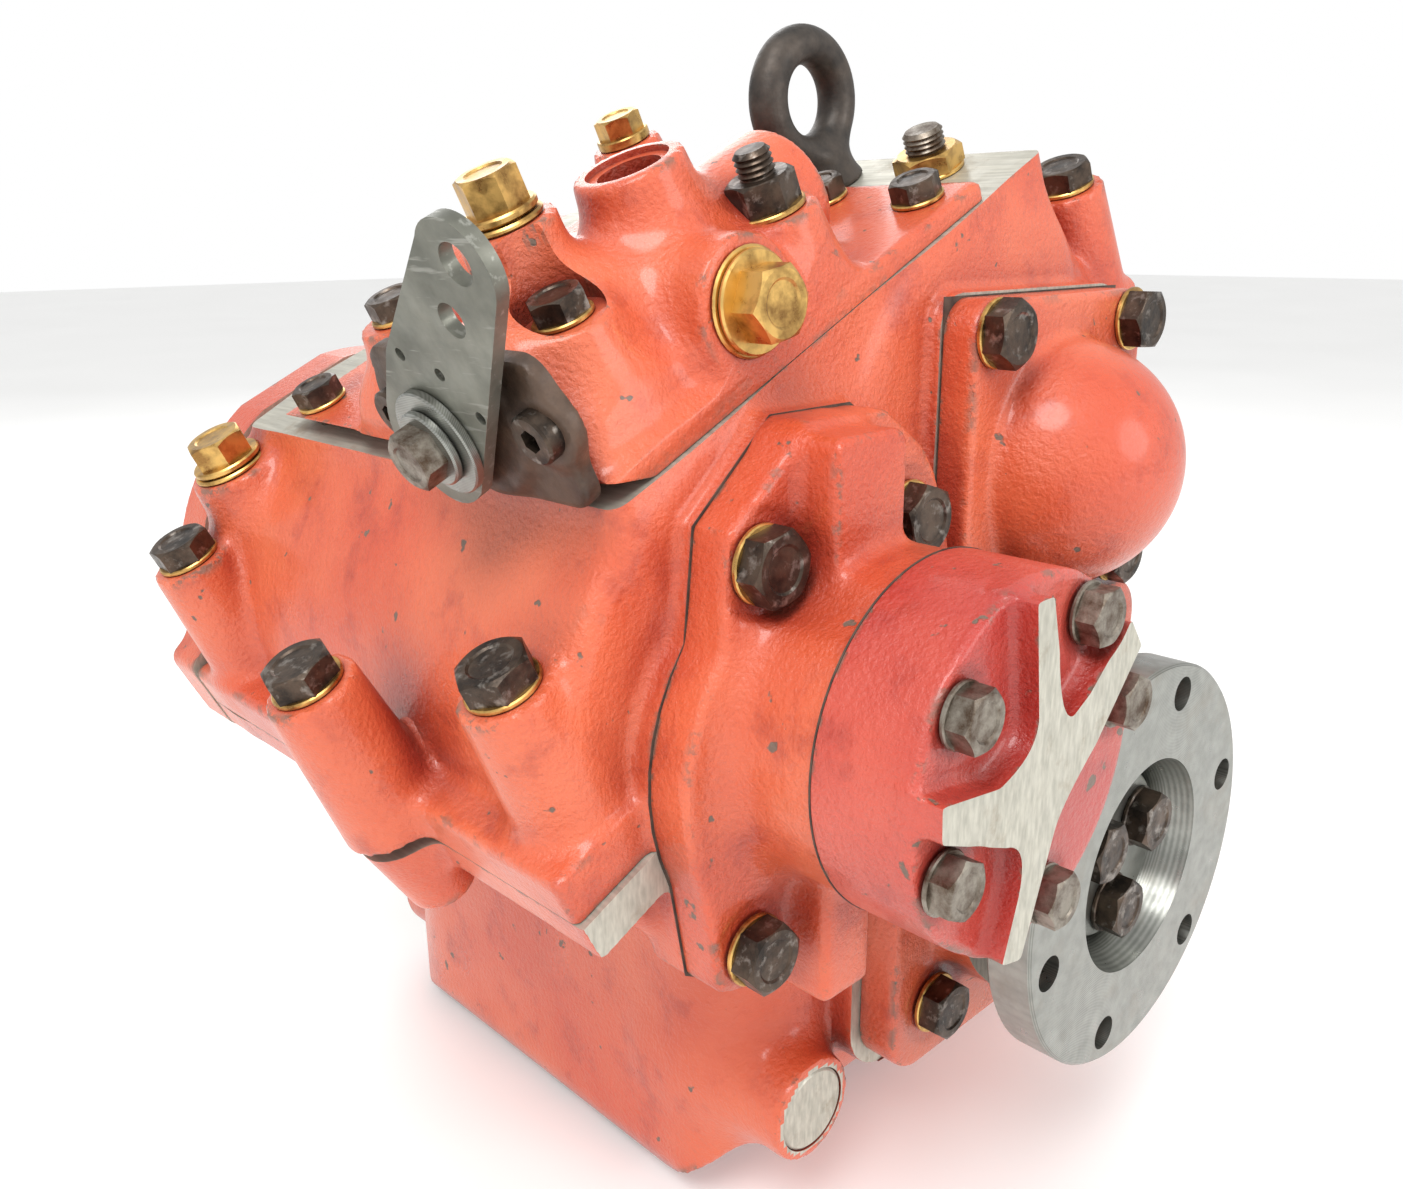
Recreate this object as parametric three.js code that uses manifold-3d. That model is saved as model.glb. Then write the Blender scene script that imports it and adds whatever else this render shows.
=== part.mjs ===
// Marine reversing and reduction gearbox, millimetres, +Z up, output coupling facing -Y.
// Two clutch shafts lie side by side on an inclined joint plane. Each carries a drum gear and a
// free pinion; both pinions drive one bull gear on the output shaft below them.
//
// The design frame has its origin on the output axis at the coupling's front face. Pieces of the
// inclined gearcase are drawn in "tilted" coordinates (u, y, w): u runs up to the right along the
// joint plane and w points away from it. The finished group is moved so that its origin is the
// bottom centre of the whole gearbox.

import * as THREE from 'three';
import { mergeVertices } from 'three/addons/utils/BufferGeometryUtils.js';
import Module from 'manifold-3d';

const wasm = await Module();
wasm.setup();

// ---------------------------------------------------------------- driving dimensions
const GAP = 0.3; // clearance between neighbouring pieces
const MODULE = 3; // gear module
const BULL_TEETH = 51;
const PINION_TEETH = 26;
const DRUM_TEETH = 36;
const INCLINE = THREE.MathUtils.degToRad(26); // tilt of the joint plane about Y

const OUTPUT_CENTRES = (BULL_TEETH + PINION_TEETH) * MODULE / 2; // output axis to either clutch axis
const SHAFT_CENTRES = DRUM_TEETH * MODULE; // layshaft axis to input axis
const SPLIT_W = Math.sqrt(OUTPUT_CENTRES ** 2 - (SHAFT_CENTRES / 2) ** 2); // height of the joint plane
const SHAFT_U = SHAFT_CENTRES / 2; // the clutch axes lie at u = -SHAFT_U and u = +SHAFT_U

const CASE_FRONT = 62; // front face of the main castings
const CASE_REAR = 262;
const PAD_FRONT = 55; // machined pads that carry the front covers
const WALL = 8;
const BARREL_R = 76; // outside radius of the gearcase around each clutch axis
const COVER_W = 180; // machined top face of the upper case
const FLANGE_TOP = SPLIT_W + 14;
const FLANGE_LOW = SPLIT_W - 12;
const FLANGE_LEFT = -142;
const FLANGE_RIGHT = 150;
const SUMP = { left: -108, right: 92, bottom: -120, corner: 20, upright: 34, rise: 88 };

const COUPLING_R = 63.5; // 127 mm coupling
const COUPLING_RIM = 14;
const COUPLING_PCD = 107.95;
const COUPLING_HOLE_R = 5.4;
const COUPLING_PHASE = 0.28; // first bolt hole, clockwise from the top
const RECESS_R = 34;
const RECESS_DEPTH = 20;
const SHAFT_R = 23; // output shaft

const PUMP_R = 46; // barrel of the oil pump
const PUMP_FACE = -19.5; // machined ribs of the pump cover
const PUMP_RIM = -13; // cast face between the ribs
const PUMP_JOINT = 14.5; // pump cover to pump housing
const PUMP_FLANGE_FRONT = 42;
const PUMP_TEETH = 10;
const PUMP_MODULE = 2.2;

const DOME = { x: 8.5, z: 120.5, half: 47.5, bolt: 38.2, front: 44, r: 38 };
const OUTPUT_FLANGE = { half: 66, corner: 14, front: 42, bolt: 46, hub: 52, hubFront: 30 };

const M10 = { across: 17, head: 6.6, washer: 9.8, washerThick: 1.6, shank: 5, length: 22 };
const M8 = { across: 13, head: 5.5, washer: 7.8, washerThick: 1.4, shank: 4, length: 16 };

// ---------------------------------------------------------------- frames
const cosI = Math.cos(INCLINE);
const sinI = Math.sin(INCLINE);
const level = (u, w) => ({ x: u * cosI - w * sinI, z: u * sinI + w * cosI });
const LAYSHAFT = level(-SHAFT_U, SPLIT_W);
const INPUT = level(SHAFT_U, SPLIT_W);
const OUTPUT = { x: 0, z: 0 };

// ---------------------------------------------------------------- colours
const paint = new THREE.Color(0.75, 0.12, 0.06);
const steel = new THREE.Color(0.55, 0.55, 0.53);
const darkBolt = new THREE.Color(0.09, 0.07, 0.06);
const brass = new THREE.Color(0.72, 0.5, 0.2);

const finish = (color, roughness, metalness) =>
  new THREE.MeshStandardMaterial({ color, roughness, metalness });
const paintedIron = () => finish(paint, 0.5, 0.1);
const machinedSteel = () => finish(steel, 0.35, 0.9);
const blackenedSteel = () => finish(darkBolt, 0.5, 0.7);
const yellowBrass = () => finish(brass, 0.35, 0.9);

// ---------------------------------------------------------------- solids
// A closed three.js geometry becomes a manifold solid once its corners are shared.
function solid(geometry) {
  const bare = geometry.index ? geometry.toNonIndexed() : geometry.clone();
  bare.deleteAttribute('normal');
  bare.deleteAttribute('uv');
  const merged = mergeVertices(bare, 1e-4);
  const mesh = new wasm.Mesh({
    numProp: 3,
    vertProperties: new Float32Array(merged.attributes.position.array),
    triVerts: new Uint32Array(merged.index.array),
  });
  return new wasm.Manifold(mesh);
}

function join(...pieces) {
  return pieces.reduce((all, piece) => all.add(piece));
}

function cut(body, ...tools) {
  return tools.reduce((all, tool) => all.subtract(tool), body);
}

// Straight prism between two depths y of an outline drawn in the XZ plane.
function prismY(shape, y0, y1, curveSegments = 8) {
  const options = { depth: y1 - y0, bevelEnabled: false, curveSegments };
  const geometry = new THREE.ExtrudeGeometry(shape, options);
  geometry.rotateX(Math.PI / 2);
  geometry.translate(0, y1, 0);
  return geometry;
}

// Cylinder or cone along Y.
function rodY(at, y0, y1, r0, r1 = r0, segments = 20) {
  const geometry = new THREE.CylinderGeometry(r1, r0, y1 - y0, segments);
  geometry.translate(at.x, (y0 + y1) / 2, at.z);
  return geometry;
}

// Cylinder or cone along Z, or along w when it is tilted afterwards.
function rodZ(x, y, z0, z1, r0, r1 = r0, segments = 12) {
  const geometry = new THREE.CylinderGeometry(r1, r0, z1 - z0, segments);
  geometry.rotateX(Math.PI / 2);
  geometry.translate(x, y, (z0 + z1) / 2);
  return geometry;
}

// Cylinder or cone along X, or along u when it is tilted afterwards.
function rodX(x0, x1, y, z, r0, r1 = r0, segments = 16) {
  const geometry = new THREE.CylinderGeometry(r1, r0, x1 - x0, segments);
  geometry.rotateZ(-Math.PI / 2);
  geometry.translate((x0 + x1) / 2, y, z);
  return geometry;
}

function box(x0, x1, y0, y1, z0, z1) {
  const geometry = new THREE.BoxGeometry(x1 - x0, y1 - y0, z1 - z0);
  geometry.translate((x0 + x1) / 2, (y0 + y1) / 2, (z0 + z1) / 2);
  return geometry;
}

const tilt = (geometry) => geometry.rotateY(-INCLINE);
const tiltedBox = (...sides) => solid(tilt(box(...sides)));
const tiltedRod = (...sizes) => solid(tilt(rodZ(...sizes)));

// Carries a drawing in the YZ plane, thickened towards +X, into place.
const SIDE_PLANE = new THREE.Matrix4().makeBasis(
  new THREE.Vector3(0, 1, 0),
  new THREE.Vector3(0, 0, 1),
  new THREE.Vector3(1, 0, 0),
);

// Solid of revolution about an axis parallel to Y; the profile holds [radius, y] pairs.
function turned(at, profile, segments = 20) {
  const points = profile.map(([r, y]) => new THREE.Vector2(r, y));
  if (profile.every(([r]) => r > 0)) {
    points.push(points[0].clone());
  }
  const geometry = new THREE.LatheGeometry(points, segments);
  geometry.translate(at.x, 0, at.z);
  const made = solid(geometry);
  return made.volume() < 0 ? solid(flipped(geometry)) : made;
}

function flipped(geometry) {
  const turnedOver = geometry.clone();
  const index = turnedOver.index.array;
  for (let i = 0; i < index.length; i += 3) {
    [index[i], index[i + 1]] = [index[i + 1], index[i]];
  }
  return turnedOver;
}

function roundedRect(x0, x1, z0, z1, r) {
  const shape = new THREE.Shape();
  shape.moveTo(x0 + r, z0);
  shape.lineTo(x1 - r, z0);
  shape.absarc(x1 - r, z0 + r, r, -Math.PI / 2, 0);
  shape.lineTo(x1, z1 - r);
  shape.absarc(x1 - r, z1 - r, r, 0, Math.PI / 2);
  shape.lineTo(x0 + r, z1);
  shape.absarc(x0 + r, z1 - r, r, Math.PI / 2, Math.PI);
  shape.lineTo(x0, z0 + r);
  shape.absarc(x0 + r, z0 + r, r, Math.PI, 1.5 * Math.PI);
  return shape;
}

const group = new THREE.Group();

function addNode(name, made, material) {
  const result = made.getMesh();
  const geometry = new THREE.BufferGeometry();
  const positions = new THREE.BufferAttribute(new Float32Array(result.vertProperties), 3);
  geometry.setAttribute('position', positions);
  geometry.setIndex(new THREE.BufferAttribute(new Uint32Array(result.triVerts), 1));
  geometry.computeVertexNormals();
  const mesh = new THREE.Mesh(geometry, material);
  mesh.name = name;
  group.add(mesh);
}

// ---------------------------------------------------------------- fasteners
// A fastener is drawn along +Z with its seat at zero, then turned onto its own axis.
function hexBolt(size) {
  const radius = size.across / Math.sqrt(3);
  const head = new THREE.CylinderGeometry(radius, radius, size.head, 6);
  head.rotateX(Math.PI / 2);
  head.translate(0, 0, size.washerThick + size.head / 2 - 0.05);
  const profile = [
    [0, -size.length], [size.shank, -size.length], [size.shank, GAP],
    [size.washer, GAP], [size.washer, size.washerThick], [0, size.washerThick],
  ];
  const body = new THREE.LatheGeometry(profile.map(([r, z]) => new THREE.Vector2(r, z)), 8);
  body.rotateX(Math.PI / 2);
  return [head, body];
}

// Rotation that carries +Z onto -Y.
const facingFront = (geometry) => geometry.rotateX(Math.PI / 2);

function frontBolt(name, at, seatY, size, spin = 0) {
  const pieces = hexBolt(size).map((geometry) => {
    geometry.rotateZ(spin);
    facingFront(geometry);
    geometry.translate(at.x, seatY, at.z);
    return solid(geometry);
  });
  addNode(name, join(...pieces), blackenedSteel());
}

function topBolt(name, seat, size, spin = 0) {
  const pieces = hexBolt(size).map((geometry) => {
    geometry.rotateZ(spin);
    geometry.translate(seat.u, seat.y, seat.w);
    return solid(tilt(geometry));
  });
  addNode(name, join(...pieces), blackenedSteel());
}

const holeY = (at, y0, y1, r) => solid(rodY(at, y0, y1, r, r, 8));
const holeW = (u, y, w0, w1, r) => tiltedRod(u, y, w0, w1, r, r, 8);

// ---------------------------------------------------------------- bolt positions
const pumpFlangeBolts = [
  { x: LAYSHAFT.x - 33, z: LAYSHAFT.z + 44 },
  { x: LAYSHAFT.x + 23.5, z: LAYSHAFT.z + 46 },
  { x: LAYSHAFT.x - 34.8, z: LAYSHAFT.z - 57.5 },
];
const outputBolts = [[-1, -1], [1, -1], [1, 1]].map(([sx, sz]) => (
  { x: sx * OUTPUT_FLANGE.bolt, z: sz * OUTPUT_FLANGE.bolt }
));
const domeBolts = [[-1, 1], [1, 1], [1, -1], [-1, -1]].map(([sx, sz]) => (
  { x: DOME.x + sx * DOME.bolt, z: DOME.z + sz * DOME.bolt }
));
const pumpCoverBolts = [145, 205, 284, 10, 60].map((degrees) => {
  const angle = THREE.MathUtils.degToRad(degrees);
  const r = PUMP_R - 8.3;
  return { x: LAYSHAFT.x + r * Math.cos(angle), z: LAYSHAFT.z + r * Math.sin(angle) };
});
const caseBolts = [
  { u: -121, y: 75, w: 155, lobe: false },
  { u: -143, y: 133, w: 155, lobe: true },
  { u: -125, y: 243, w: 157, lobe: true },
  { u: 136, y: 75, w: 155, lobe: true },
];
const topCoverBolts = [
  { u: -60, y: 84, w: 215 },
  { u: 62, y: 75, w: 186 },
  { u: -71, y: 212, w: 186 },
  { u: 64, y: 112, w: 186 },
  { u: -61, y: 157, w: 213 },
];

// ---------------------------------------------------------------- front pads
// Outline of the pump housing's flange: a top lobe, a round left side and a tail at the bottom.
function pumpFlangeShape() {
  const { x, z } = LAYSHAFT;
  const shape = new THREE.Shape();
  shape.moveTo(x + 14, z + 75);
  shape.lineTo(x - 16, z + 75);
  shape.lineTo(x - 42, z + 52);
  shape.lineTo(x - 45, z + 24);
  shape.quadraticCurveTo(x - 66, z - 4, x - 51, z - 38);
  shape.lineTo(x - 46, z - 66);
  shape.quadraticCurveTo(x - 34, z - 73, x - 20, z - 66);
  shape.quadraticCurveTo(x - 8, z - 56, x + 14, z - 52);
  shape.quadraticCurveTo(x + 44, z - 38, x + 52, z);
  shape.quadraticCurveTo(x + 46, z + 34, x + 36, z + 56);
  shape.lineTo(x + 30, z + 64);
  return shape;
}

function outputFlange(y0, y1) {
  const { half, corner } = OUTPUT_FLANGE;
  const outline = roundedRect(-half, half, -half, DOME.z - DOME.half - 2, corner);
  const plate = solid(prismY(outline, y0, y1, 3));
  const pumpSide = solid(prismY(pumpFlangeShape(), y0 - 1, y1 + 1, 4));
  const grow = 1.03; // leaves a strip of clearance beside the pump flange
  const shift = [LAYSHAFT.x * (1 - grow), 0, LAYSHAFT.z * (1 - grow)];
  return cut(plate, pumpSide.scale([grow, 1, grow]).translate(shift));
}

const domeSquare = (grow) => roundedRect(
  DOME.x - DOME.half - grow,
  DOME.x + DOME.half + grow,
  DOME.z - DOME.half - grow,
  DOME.z + DOME.half + grow,
  10,
);

// ---------------------------------------------------------------- main castings
const BELOW = (w) => tiltedBox(-400, 400, -100, 500, -500, w);
const ABOVE = (w) => tiltedBox(-400, 400, -100, 500, w, 700);

function frontOpenings() {
  return [
    solid(rodY(LAYSHAFT, 0, CASE_FRONT + 20, 40, 40, 20)),
    solid(rodY(INPUT, 0, CASE_FRONT + 20, 34, 34, 20)),
    solid(rodY(OUTPUT, 0, CASE_FRONT + 20, 42, 42, 20)),
    solid(rodY(INPUT, CASE_REAR - 20, CASE_REAR + 20, 31, 31, 16)),
    solid(rodY(LAYSHAFT, CASE_REAR - 20, CASE_REAR + 20, 26, 26, 16)),
    solid(rodY(OUTPUT, CASE_REAR - 20, CASE_REAR + 20, 30, 30, 16)),
  ];
}

function barrels(radius, y0, y1) {
  const left = solid(rodY(LAYSHAFT, y0, y1, radius, radius, 24));
  const right = solid(rodY(INPUT, y0, y1, radius, radius, 24));
  return join(left, right);
}

function frontPads() {
  return join(
    solid(prismY(pumpFlangeShape(), PAD_FRONT, CASE_FRONT + 4, 4)),
    solid(prismY(domeSquare(1.5), PAD_FRONT, CASE_FRONT + 4, 3)),
    outputFlange(PAD_FRONT, CASE_FRONT + 4),
  );
}

// Sump block: rounded upright corners and long edges, with a floor that rises to the front.
function sumpBlock(inset, y0, y1) {
  const { left, right, bottom, corner, upright, rise } = SUMP;
  const top = 260;
  const shrink = inset * 0.8; // the inner radii follow the outer ones
  const across = roundedRect(left + inset, right - inset, bottom + inset, top, corner - shrink);
  const plan = roundedRect(left + inset, right - inset, y0, y1, upright - shrink);
  const fromAbove = new THREE.ExtrudeGeometry(plan, { depth: 500, bevelEnabled: false, curveSegments: 3 });
  fromAbove.translate(0, 0, -200);
  const side = new THREE.Shape();
  side.moveTo(y1, top);
  side.lineTo(y0, top);
  side.absarc(y0 + rise - shrink, bottom + inset + rise - shrink, rise - shrink, Math.PI, 1.5 * Math.PI);
  side.absarc(y1 - corner, bottom + inset + corner, corner, 1.5 * Math.PI, 2 * Math.PI);
  const fromSide = new THREE.ExtrudeGeometry(side, { depth: 500, bevelEnabled: false, curveSegments: 4 });
  fromSide.applyMatrix4(SIDE_PLANE);
  fromSide.translate(-250, 0, 0);
  return solid(prismY(across, y0, y1, 3)).intersect(solid(fromAbove)).intersect(solid(fromSide));
}

function boltDrillings(bolts, size) {
  return bolts.map(({ u, y, w }) => holeW(u, y, w - size.length - 4, w + 4, size.shank + 0.6));
}

function frontDrillings() {
  const all = [...pumpFlangeBolts, ...outputBolts, ...domeBolts];
  return all.map((at) => holeY(at, 30, 74, M10.shank + 0.6));
}

const STRAINER = { x: -88.7, z: -69, r: 13.3, boss: 16.5, front: 54 };

{
  const flange = tiltedBox(FLANGE_LEFT, FLANGE_RIGHT, CASE_FRONT, CASE_REAR, FLANGE_LOW, SPLIT_W + 5);
  const noseStrip = tiltedBox(FLANGE_LEFT, -100, PAD_FRONT, CASE_FRONT + 2, FLANGE_LOW, SPLIT_W + 5);
  const lobes = caseBolts.filter(({ lobe }) => lobe).map(({ u, y }) => (
    tiltedRod(u, y, SPLIT_W - 26, SPLIT_W + 5, 9, 14, 12)
  ));
  const outer = join(
    barrels(BARREL_R, CASE_FRONT, CASE_REAR),
    sumpBlock(0, CASE_FRONT + 2, CASE_REAR),
    flange,
    noseStrip,
    frontPads(),
    solid(rodY(STRAINER, STRAINER.front, CASE_FRONT + 30, STRAINER.boss, STRAINER.boss, 16)),
    ...lobes,
  );
  const inner = join(
    barrels(BARREL_R - WALL, CASE_FRONT + WALL, CASE_REAR - WALL),
    sumpBlock(WALL, CASE_FRONT + WALL + 2, CASE_REAR - WALL),
  );
  const strainerBore = solid(rodY(STRAINER, 0, CASE_FRONT + 40, STRAINER.r - 1, STRAINER.r - 1, 12));
  const discSeat = solid(rodY(STRAINER, 0, STRAINER.front + 3, STRAINER.r, STRAINER.r, 16));
  const openings = [...frontOpenings(), strainerBore, discSeat, ...frontDrillings()];
  const made = cut(outer, inner, ABOVE(SPLIT_W - GAP / 2), ...openings, ...boltDrillings(caseBolts, M10));
  addNode('lower_case', made, paintedIron());
}

const COVER = { left: -82, right: 75, rear: 224, flangeTop: 186 };
const TOP_RIGHT = 108; // right edge of the machined top face
const SELECTOR = { y: 96, w: 203.5 };
const RELIEF = { u: -23.5, w: 200.5 };
const PORT = { u: -17, y: 96, top: 233.5 };
const DETENT = { u: -52, y: 103, top: 235 };
const OIL_STUD = { u: 5, y: 76, top: 210 };
const BREATHER = { u: -97, y: 244, top: 174 };
const EYEBOLT = { u: 90, y: 133, w: COVER_W + 28, ring: 16.5, thick: 6 };
const ADAPTER = { u: 95, y: 94 };

{
  const bosses = caseBolts.map(({ u, y, w }) => (
    tiltedRod(u, y, FLANGE_TOP - 6, w, 16, 12.5, 12)
  ));
  const outer = join(
    barrels(BARREL_R, CASE_FRONT, CASE_REAR),
    tiltedBox(COVER.left, TOP_RIGHT, CASE_FRONT, CASE_REAR - 12, SPLIT_W, COVER_W),
    tiltedBox(FLANGE_LEFT, FLANGE_RIGHT, CASE_FRONT, CASE_REAR, SPLIT_W - 5, FLANGE_TOP),
    tiltedBox(FLANGE_LEFT, -100, PAD_FRONT + 3, CASE_FRONT + 2, SPLIT_W - 5, FLANGE_TOP),
    frontPads(),
    tiltedRod(BREATHER.u, BREATHER.y, SPLIT_W + 30, BREATHER.top, 17, 14, 12),
    ...bosses,
  );
  const inner = join(
    barrels(BARREL_R - WALL, CASE_FRONT + WALL, CASE_REAR - WALL),
    tiltedBox(-60, TOP_RIGHT - WALL - 6, CASE_FRONT + WALL, CASE_REAR - 12 - WALL, SPLIT_W, COVER_W - WALL),
  );
  const topOpening = tiltedBox(COVER.left + 26, COVER.right - 22, 90, 200, COVER_W - 20, COVER_W + 10);
  const studHoles = [
    holeW(EYEBOLT.u, EYEBOLT.y, COVER_W - WALL - 4, COVER_W + 2, 6.6),
    holeW(ADAPTER.u, ADAPTER.y, COVER_W - WALL - 4, COVER_W + 2, 6.6),
    holeW(BREATHER.u, BREATHER.y, SPLIT_W + 40, BREATHER.top + 2, 9.4),
  ];
  const breatherSeat = tiltedRod(BREATHER.u, BREATHER.y, BREATHER.top, COVER_W + 9, 17.5);
  const sides = [BELOW(SPLIT_W + GAP / 2), ABOVE(COVER_W), breatherSeat];
  const openings = [topOpening, ...frontOpenings(), ...frontDrillings(), ...studHoles];
  const drillings = [...boltDrillings(caseBolts, M10), ...boltDrillings(topCoverBolts, M8)];
  const made = cut(outer, inner, ...sides, ...openings, ...drillings);
  addNode('upper_case', made, paintedIron());
}

// ---------------------------------------------------------------- top cover and valve chest
{
  const { left, right, rear, flangeTop } = COVER;
  const base = COVER_W + GAP;
  const tallBolts = topCoverBolts.filter(({ w }) => w > flangeTop);
  const bossPieces = [
    ...tallBolts.map(({ u, y, w }) => tiltedRod(u, y, base + 2, w, 16, 11.5, 12)),
    tiltedRod(OIL_STUD.u, OIL_STUD.y, base + 2, OIL_STUD.top, 17, 13, 12),
    tiltedRod(DETENT.u, DETENT.y, base + 2, DETENT.top, 19, 13, 14),
    tiltedRod(PORT.u, PORT.y, base + 2, PORT.top, 21, 14, 16),
    tiltedRod(45, 170, base + 2, 216, 16, 10.5, 12),
    solid(tilt(rodY({ x: RELIEF.u, z: RELIEF.w }, CASE_FRONT, 190, 16, 16, 16))),
    solid(tilt(rodX(left, 30, SELECTOR.y, SELECTOR.w, 19, 19, 16))),
  ];
  const body = join(
    tiltedBox(left, right, CASE_FRONT, rear, base, flangeTop),
    tiltedBox(left, 20, CASE_FRONT, 172, base, 203),
    ...bossPieces,
  );
  const valveBore = solid(tilt(rodY({ x: RELIEF.u, z: RELIEF.w }, 0, 150, 9, 9, 12)));
  const selectorBore = solid(tilt(rodX(left - 10, -38, SELECTOR.y, SELECTOR.w, 8, 8, 14)));
  const hollow = tiltedBox(-52, 12, 108, 164, 100, 192);
  const drillings = [
    valveBore,
    selectorBore,
    hollow,
    holeW(PORT.u, PORT.y, PORT.top - 14, PORT.top + 4, 8.5),
    holeW(DETENT.u, DETENT.y, SELECTOR.w + 10, DETENT.top + 4, 8.6),
    holeW(OIL_STUD.u, OIL_STUD.y, OIL_STUD.top - 16, OIL_STUD.top + 4, 5.6),
    ...boltDrillings(topCoverBolts, M8),
  ];
  const seats = [...topCoverBolts, { ...OIL_STUD, w: OIL_STUD.top }].map(({ u, y, w }) => (
    tiltedRod(u, y, w, w + 40, 10.5)
  ));
  addNode('top_cover', cut(body, BELOW(base), ...drillings, ...seats), paintedIron());
}

{
  const right = COVER.left - GAP;
  const plate = box(right - 4.5, right, CASE_FRONT + 1, SELECTOR.y + 36, COVER_W + 2, SELECTOR.w + 17);
  const hub = rodX(right - 6.5, right, SELECTOR.y, SELECTOR.w, 19, 21, 16);
  const bore = rodX(right - 40, right + 10, SELECTOR.y, SELECTOR.w, 8, 8, 14);
  const made = cut(join(solid(tilt(plate)), solid(tilt(hub))), solid(tilt(bore)));
  addNode('valve_housing', made, finish(new THREE.Color(0.3, 0.2, 0.14), 0.6, 0.4));
}

// ---------------------------------------------------------------- oil pump
{
  const seat = PAD_FRONT - GAP;
  const { x, z } = LAYSHAFT;
  const ribs = [
    box(x - 21, x + 5, 30, seat, z + 30, z + 73),
    box(x - 20, x - 1, 30, seat, z - 78, z - 30),
  ].map(solid);
  const outer = join(
    solid(prismY(pumpFlangeShape(), PUMP_FLANGE_FRONT, seat, 4)),
    solid(rodY(LAYSHAFT, PUMP_JOINT + GAP, seat, PUMP_R - 1.5, PUMP_R - 1.5, 28)),
    ...ribs,
  );
  const reliefs = pumpFlangeBolts.map((at) => holeY(at, 0, PUMP_FLANGE_FRONT, 11.5));
  const bores = [
    solid(rodY(LAYSHAFT, PUMP_JOINT + 16, 80, 34, 34, 20)),
    solid(rodY(LAYSHAFT, 0, 80, 12.5, 12.5, 14)),
    ...pumpFlangeBolts.map((at) => holeY(at, 20, 80, M10.shank + 0.6)),
    ...pumpCoverBolts.map((at) => holeY(at, 0, PUMP_JOINT + 12, M8.shank + 0.5)),
  ];
  addNode('pump_housing', cut(outer, ...reliefs, ...bores), paintedIron());
}

const PUMP_IDLER_OFFSET = PUMP_TEETH * PUMP_MODULE;
const PUMP_IDLER = { x: LAYSHAFT.x + PUMP_IDLER_OFFSET * 0.6, z: LAYSHAFT.z - PUMP_IDLER_OFFSET * 0.8 };
const PUMP_GEARS = { front: -4, rear: 11 };

{
  const { x, z } = LAYSHAFT;
  const rear = PUMP_JOINT - GAP;
  const face = new THREE.Shape();
  face.moveTo(x - 14, z + 43.5);
  face.lineTo(x - 7.5, z + 43.5);
  face.lineTo(x - 3.5, z + 30);
  face.quadraticCurveTo(x - 1, z + 13, x + 5, z + 12.5);
  face.lineTo(x + 12, z + 16);
  face.lineTo(x + 29, z + 30);
  face.lineTo(x + 35.5, z + 22);
  face.lineTo(x + 17, z + 2);
  face.quadraticCurveTo(x + 4, z - 8, x + 1, z - 14);
  face.lineTo(x - 10, z - 43.5);
  face.lineTo(x - 18, z - 41.5);
  face.lineTo(x - 13, z - 26);
  face.quadraticCurveTo(x - 10, z - 13, x - 20, z - 11);
  face.lineTo(x - 44.5, z - 1);
  face.lineTo(x - 45, z + 7.5);
  face.lineTo(x - 24, z + 4.5);
  face.quadraticCurveTo(x - 10, z + 8, x - 10, z + 16);
  const drum = solid(rodY(LAYSHAFT, PUMP_RIM, rear, PUMP_R, PUMP_R, 32));
  const ribs = solid(prismY(face, PUMP_FACE, PUMP_RIM + 1, 4));
  const gearRoom = PUMP_MODULE * (PUMP_TEETH / 2 + 1) + 0.4;
  const pockets = [LAYSHAFT, PUMP_IDLER].map((at) => (
    solid(rodY(at, PUMP_GEARS.front - GAP, rear + 4, gearRoom, gearRoom, 18))
  ));
  const idlerPin = solid(rodY(PUMP_IDLER, PUMP_GEARS.front - 6, PUMP_GEARS.front, 4.2, 4.2, 12));
  const drillings = pumpCoverBolts.map((at) => holeY(at, -40, 60, M8.shank + 0.5));
  const seats = pumpCoverBolts.map((at) => solid(rodY(at, -40, PUMP_RIM, 8.6, 8.6, 12)));
  const made = cut(join(drum, ribs), ...pockets, idlerPin, ...drillings, ...seats);
  addNode('pump_cover', made, paintedIron());
}

// ---------------------------------------------------------------- input end cover (domed)
{
  const seat = PAD_FRONT - GAP;
  const centre = { x: DOME.x + 1.5, z: DOME.z - 3 };
  const plate = solid(prismY(domeSquare(0), DOME.front, seat, 3));
  const arc = (radius) => {
    const steps = 5;
    const points = [];
    for (let i = 0; i <= steps; i += 1) {
      const angle = (Math.PI / 2) * (i / steps);
      points.push([radius * Math.sin(angle), DOME.front + 2 - radius * Math.cos(angle)]);
    }
    return points;
  };
  const dome = turned(centre, [...arc(DOME.r), [DOME.r, DOME.front + 4], [0, DOME.front + 4]], 24);
  const inside = turned(centre, [...arc(DOME.r - 5), [DOME.r - 5, seat + 4], [0, seat + 4]], 16);
  const drillings = domeBolts.map((at) => holeY(at, 20, 80, M10.shank + 0.6));
  addNode('dome_cover', cut(join(plate, dome), inside, ...drillings), paintedIron());
}

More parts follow.
